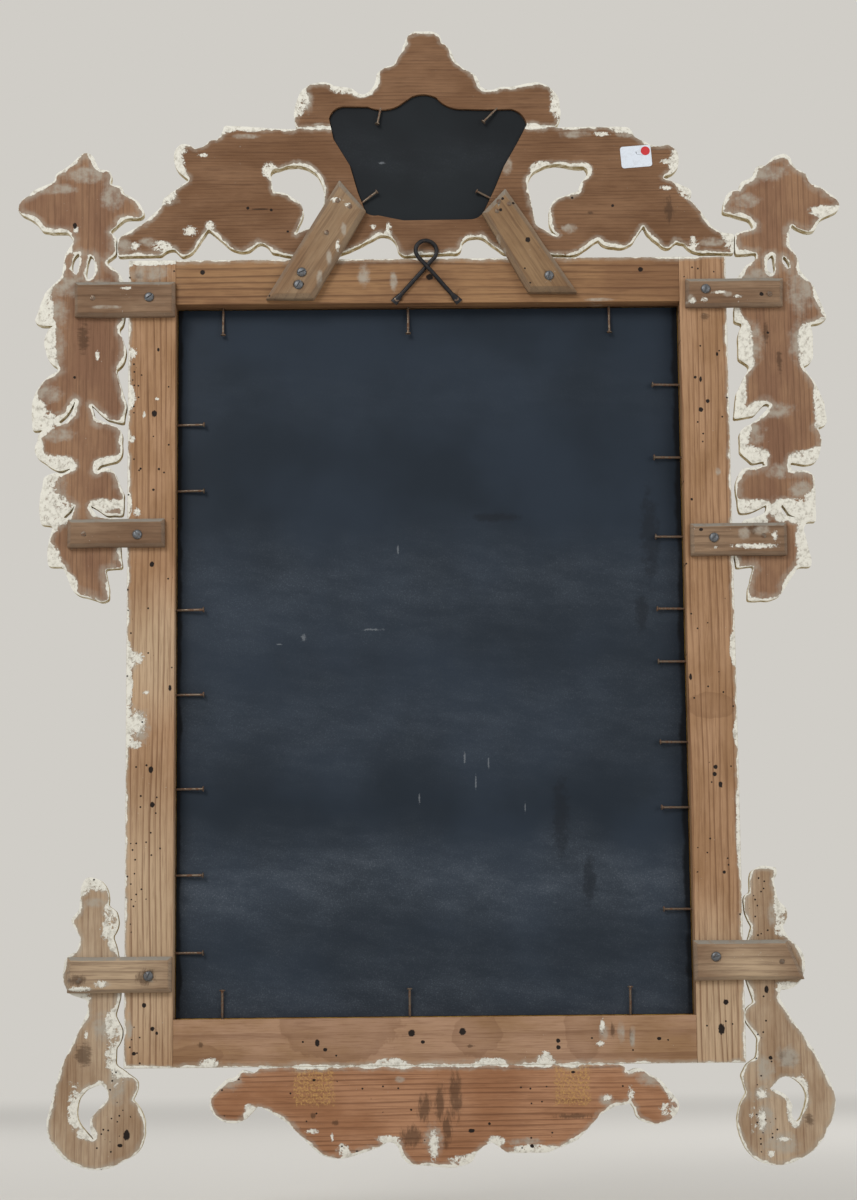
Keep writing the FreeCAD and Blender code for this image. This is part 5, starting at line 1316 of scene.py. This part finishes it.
# Iron loop: its eye's centre is the row's origin
def tube(name, centres, sizes, sides=14):
    """Forged rod along points, with half widths across and through at each, and closed ends."""
    shape = bmesh.new()
    rings = []
    up = Vector((0, 1, 0))
    for count, centre in enumerate(centres):
        before, after = centres[max(count - 1, 0)], centres[min(count + 1, len(centres) - 1)]
        way = (after - before).normalized()
        across = way.cross(up).normalized()
        lift = across.cross(way).normalized()
        wide, thick = sizes[count]
        ring = []
        for step in range(sides):
            angle = math.tau * step / sides
            spot = centre + across * (wide * math.cos(angle)) + lift * (thick * math.sin(angle))
            uneven = noise.noise(spot / (2.5 * mm)) * 0.16 * mm
            ring.append(shape.verts.new(spot + (spot - centre).normalized() * uneven))
        rings.append(ring)
    join_rings(shape, rings)
    shape.faces.new(rings[0])
    shape.faces.new(rings[-1])
    return as_mesh(shape, name)


loop_radius, rod_radius, crossing_drop, foot_drop, pad_length = 9.8, 2.0, 14.7, 41.0, 11.0
lean = math.asin(loop_radius / crossing_drop)
low_rod = back / mm + rod_radius
high_rod = low_rod + 2 * rod_radius
line = []
for side, depth in ((-1, low_rod), (1, high_rod)):
    leg = []
    foot_across = (foot_drop - crossing_drop) * math.tan(lean)
    end_across = foot_across + pad_length * math.sin(lean)
    end_drop = foot_drop + pad_length * math.cos(lean)
    for share in np.linspace(0, 1, 7):
        leg.append((-side * (end_across + (foot_across - end_across) * share),
                    low_rod - 1.0 * (1 - share), -(end_drop + (foot_drop - end_drop) * share),
                    3.6 - 1.6 * share ** 2, 1.0 + 1.0 * share))
    for share in np.linspace(0, 1, 12)[1:]:
        bend = share * share * (3 - 2 * share)
        leg.append((-side * foot_across * (1 - share), low_rod + (depth - low_rod) * bend,
                    -(foot_drop + (crossing_drop - foot_drop) * share), rod_radius, rod_radius))
    tangent = (side * loop_radius * math.cos(lean), -loop_radius * math.sin(lean))
    tilt_depth = side * tangent[0] / loop_radius * 2.0 * side
    for share in np.linspace(0, 1, 6)[1:]:
        leg.append((tangent[0] * share, depth + (tilt_depth - depth) * share,
                    -crossing_drop + (tangent[1] + crossing_drop) * share, rod_radius, rod_radius))
    line.append(leg)
start_angle = math.atan2(line[0][-1][2], line[0][-1][0])
end_angle = math.atan2(line[1][-1][2], line[1][-1][0])
arc = []
sweep = (end_angle - start_angle) % math.tau - math.tau
for share in np.linspace(0, 1, 40)[1:-1]:
    angle = start_angle + sweep * share
    arc.append((loop_radius * math.cos(angle), 2.0 * math.cos(angle), loop_radius *
               math.sin(angle), rod_radius, rod_radius))
route = line[0] + arc + line[1][::-1]
mesh = tube("hanging_loop_forged", [Vector(stop[:3]) * mm for stop in route],
            [(stop[3] * mm, stop[4] * mm) for stop in route])
soft_shading(mesh, 60)
new_piece("hanging_loop_forged", mesh, [loop_iron], ["hanging_loop"])


# Paper label and its dot
def sticker(name, node_name, outline, thickness, curl, material):
    """Thin sheet over the box of its CAD node, with its corners lifting a little."""
    low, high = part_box(node_name)
    centre = (low + high) / 2
    shape = bmesh.new()
    rings = []
    for share, depth in ((1.0, 0.0), (1.0, thickness), (0.8, thickness), (0.45, thickness)):
        ring = []
        for across, up in outline:
            spot = Vector((across * share, 0, up * share))
            lift = curl * max(0.0, (abs(across * up) * share * share) - 30.0) / 100.0
            ring.append(shape.verts.new(Vector((centre.x, low.y, centre.z)) + mm * (
                spot + Vector((0, depth + lift, 0)))))
        rings.append(ring)
    join_rings(shape, rings)
    shape.faces.new(rings[0])
    shape.faces.new(rings[-1])
    mesh = as_mesh(shape, name)
    soft_shading(mesh, 40)
    return new_piece(name, mesh, [material], [node_name])


label_half_width, label_half_height, label_corner, label_tilt = 14.5, 10.5, 2.6, math.radians(4.4)
corners = []
for across, up, start in ((1, 1, 0), (-1, 1, 90), (-1, -1, 180), (1, -1, 270)):
    for step in range(6):
        angle = math.radians(start + 18 * step)
        x = across * (label_half_width - label_corner) + label_corner * math.cos(angle)
        z = up * (label_half_height - label_corner) + label_corner * math.sin(angle)
        corners.append((x * math.cos(label_tilt) + z * math.sin(label_tilt),
                        z * math.cos(label_tilt) - x * math.sin(label_tilt)))
sticker("paper_label_sheet", "paper_label", corners, 0.25, 0.25, label_stock)
round_rim = [(4.3 * math.cos(math.tau * step / 32), 4.3 * math.sin(math.tau * step / 32))
             for step in range(32)]
sticker("label_dot_sheet", "label_dot", round_rim, 0.2, 0.0, dot_stock)

# Stage: pale floor, even pale surroundings and soft lamps on both sides
floor_height = cad_box[0][2] - 0.05
pale = linear("d0cdc7")
floor_mesh = bpy.data.meshes.new("pale_floor")
floor_mesh.from_pydata([(-9, -9, floor_height), (9, -9, floor_height), (9, 9, floor_height),
                        (-9, 9, floor_height)], [], [(0, 1, 2, 3)])
floor = put("pale_floor", floor_mesh)
floor_material, add = new_material("pale_studio_floor")
matt = add("BsdfPrincipled", {"Base Color": pale, "Roughness": 0.9, "Specular IOR Level": 0.1})
reach = add("VectorMath LENGTH", add("TexCoord", result="Object"))
far = add("MapRange", reach, 2.2, 5.5)
glow = add("Emission", {"Color": pale, "Strength": 1.0})
add("OutputMaterial", {"Surface": add("MixShader", far, matt, glow)})
floor_mesh.materials.append(floor_material)

world = bpy.data.worlds.new("pale_surroundings")
bpy.context.scene.world = world
world.use_nodes = True
world.node_tree.nodes.clear()
add = partial(add_node, world.node_tree)
rays = add("LightPath").node.outputs
seen = add("Math MAXIMUM", rays["Is Camera Ray"],
           add("Math MAXIMUM", rays["Is Glossy Ray"], rays["Is Transmission Ray"]))
lit = add("Background", {"Color": (1, 1, 1, 1), "Strength": 0.5})
shown = add("Background", {"Color": pale, "Strength": 1.0})
add("OutputWorld", {"Surface": add("MixShader", seen, lit, shown)})


def soft_lamp(name, spot, size, power):
    """Square softbox that looks at the middle of the mirror."""
    data = bpy.data.lights.new(name, "AREA")
    data.shape = "SQUARE"
    data.size = size
    data.energy = power
    lamp = put(name, data)
    lamp.location = spot
    lamp.rotation_euler = (Vector((middle_x, back, middle_z)) - Vector(spot)).to_track_quat("-Z",
                           "Y").to_euler()


soft_lamp("key_behind", (1.5, 2.6, 1.5), 1.2, 46.0)
soft_lamp("fill_behind", (-2.2, 2.2, 0.2), 1.6, 16.0)
soft_lamp("key_in_front", (-1.6, -2.6, 1.5), 1.2, 46.0)
soft_lamp("fill_in_front", (2.2, -2.2, 0.2), 1.6, 16.0)

# Camera, where the photograph was taken: behind the mirror, a little below its middle
camera_data = bpy.data.cameras.new("camera")
camera_data.lens = 84.85
camera_data.sensor_width = 36.0
camera = put("camera", camera_data)
camera.location = place(25.9, 2577.8, -341.7)
camera.rotation_euler = Euler([math.radians(angle) for angle in (98.630, 0.544, 179.553)])
bpy.context.scene.camera = camera
bpy.context.scene.view_settings.view_transform = "Standard"
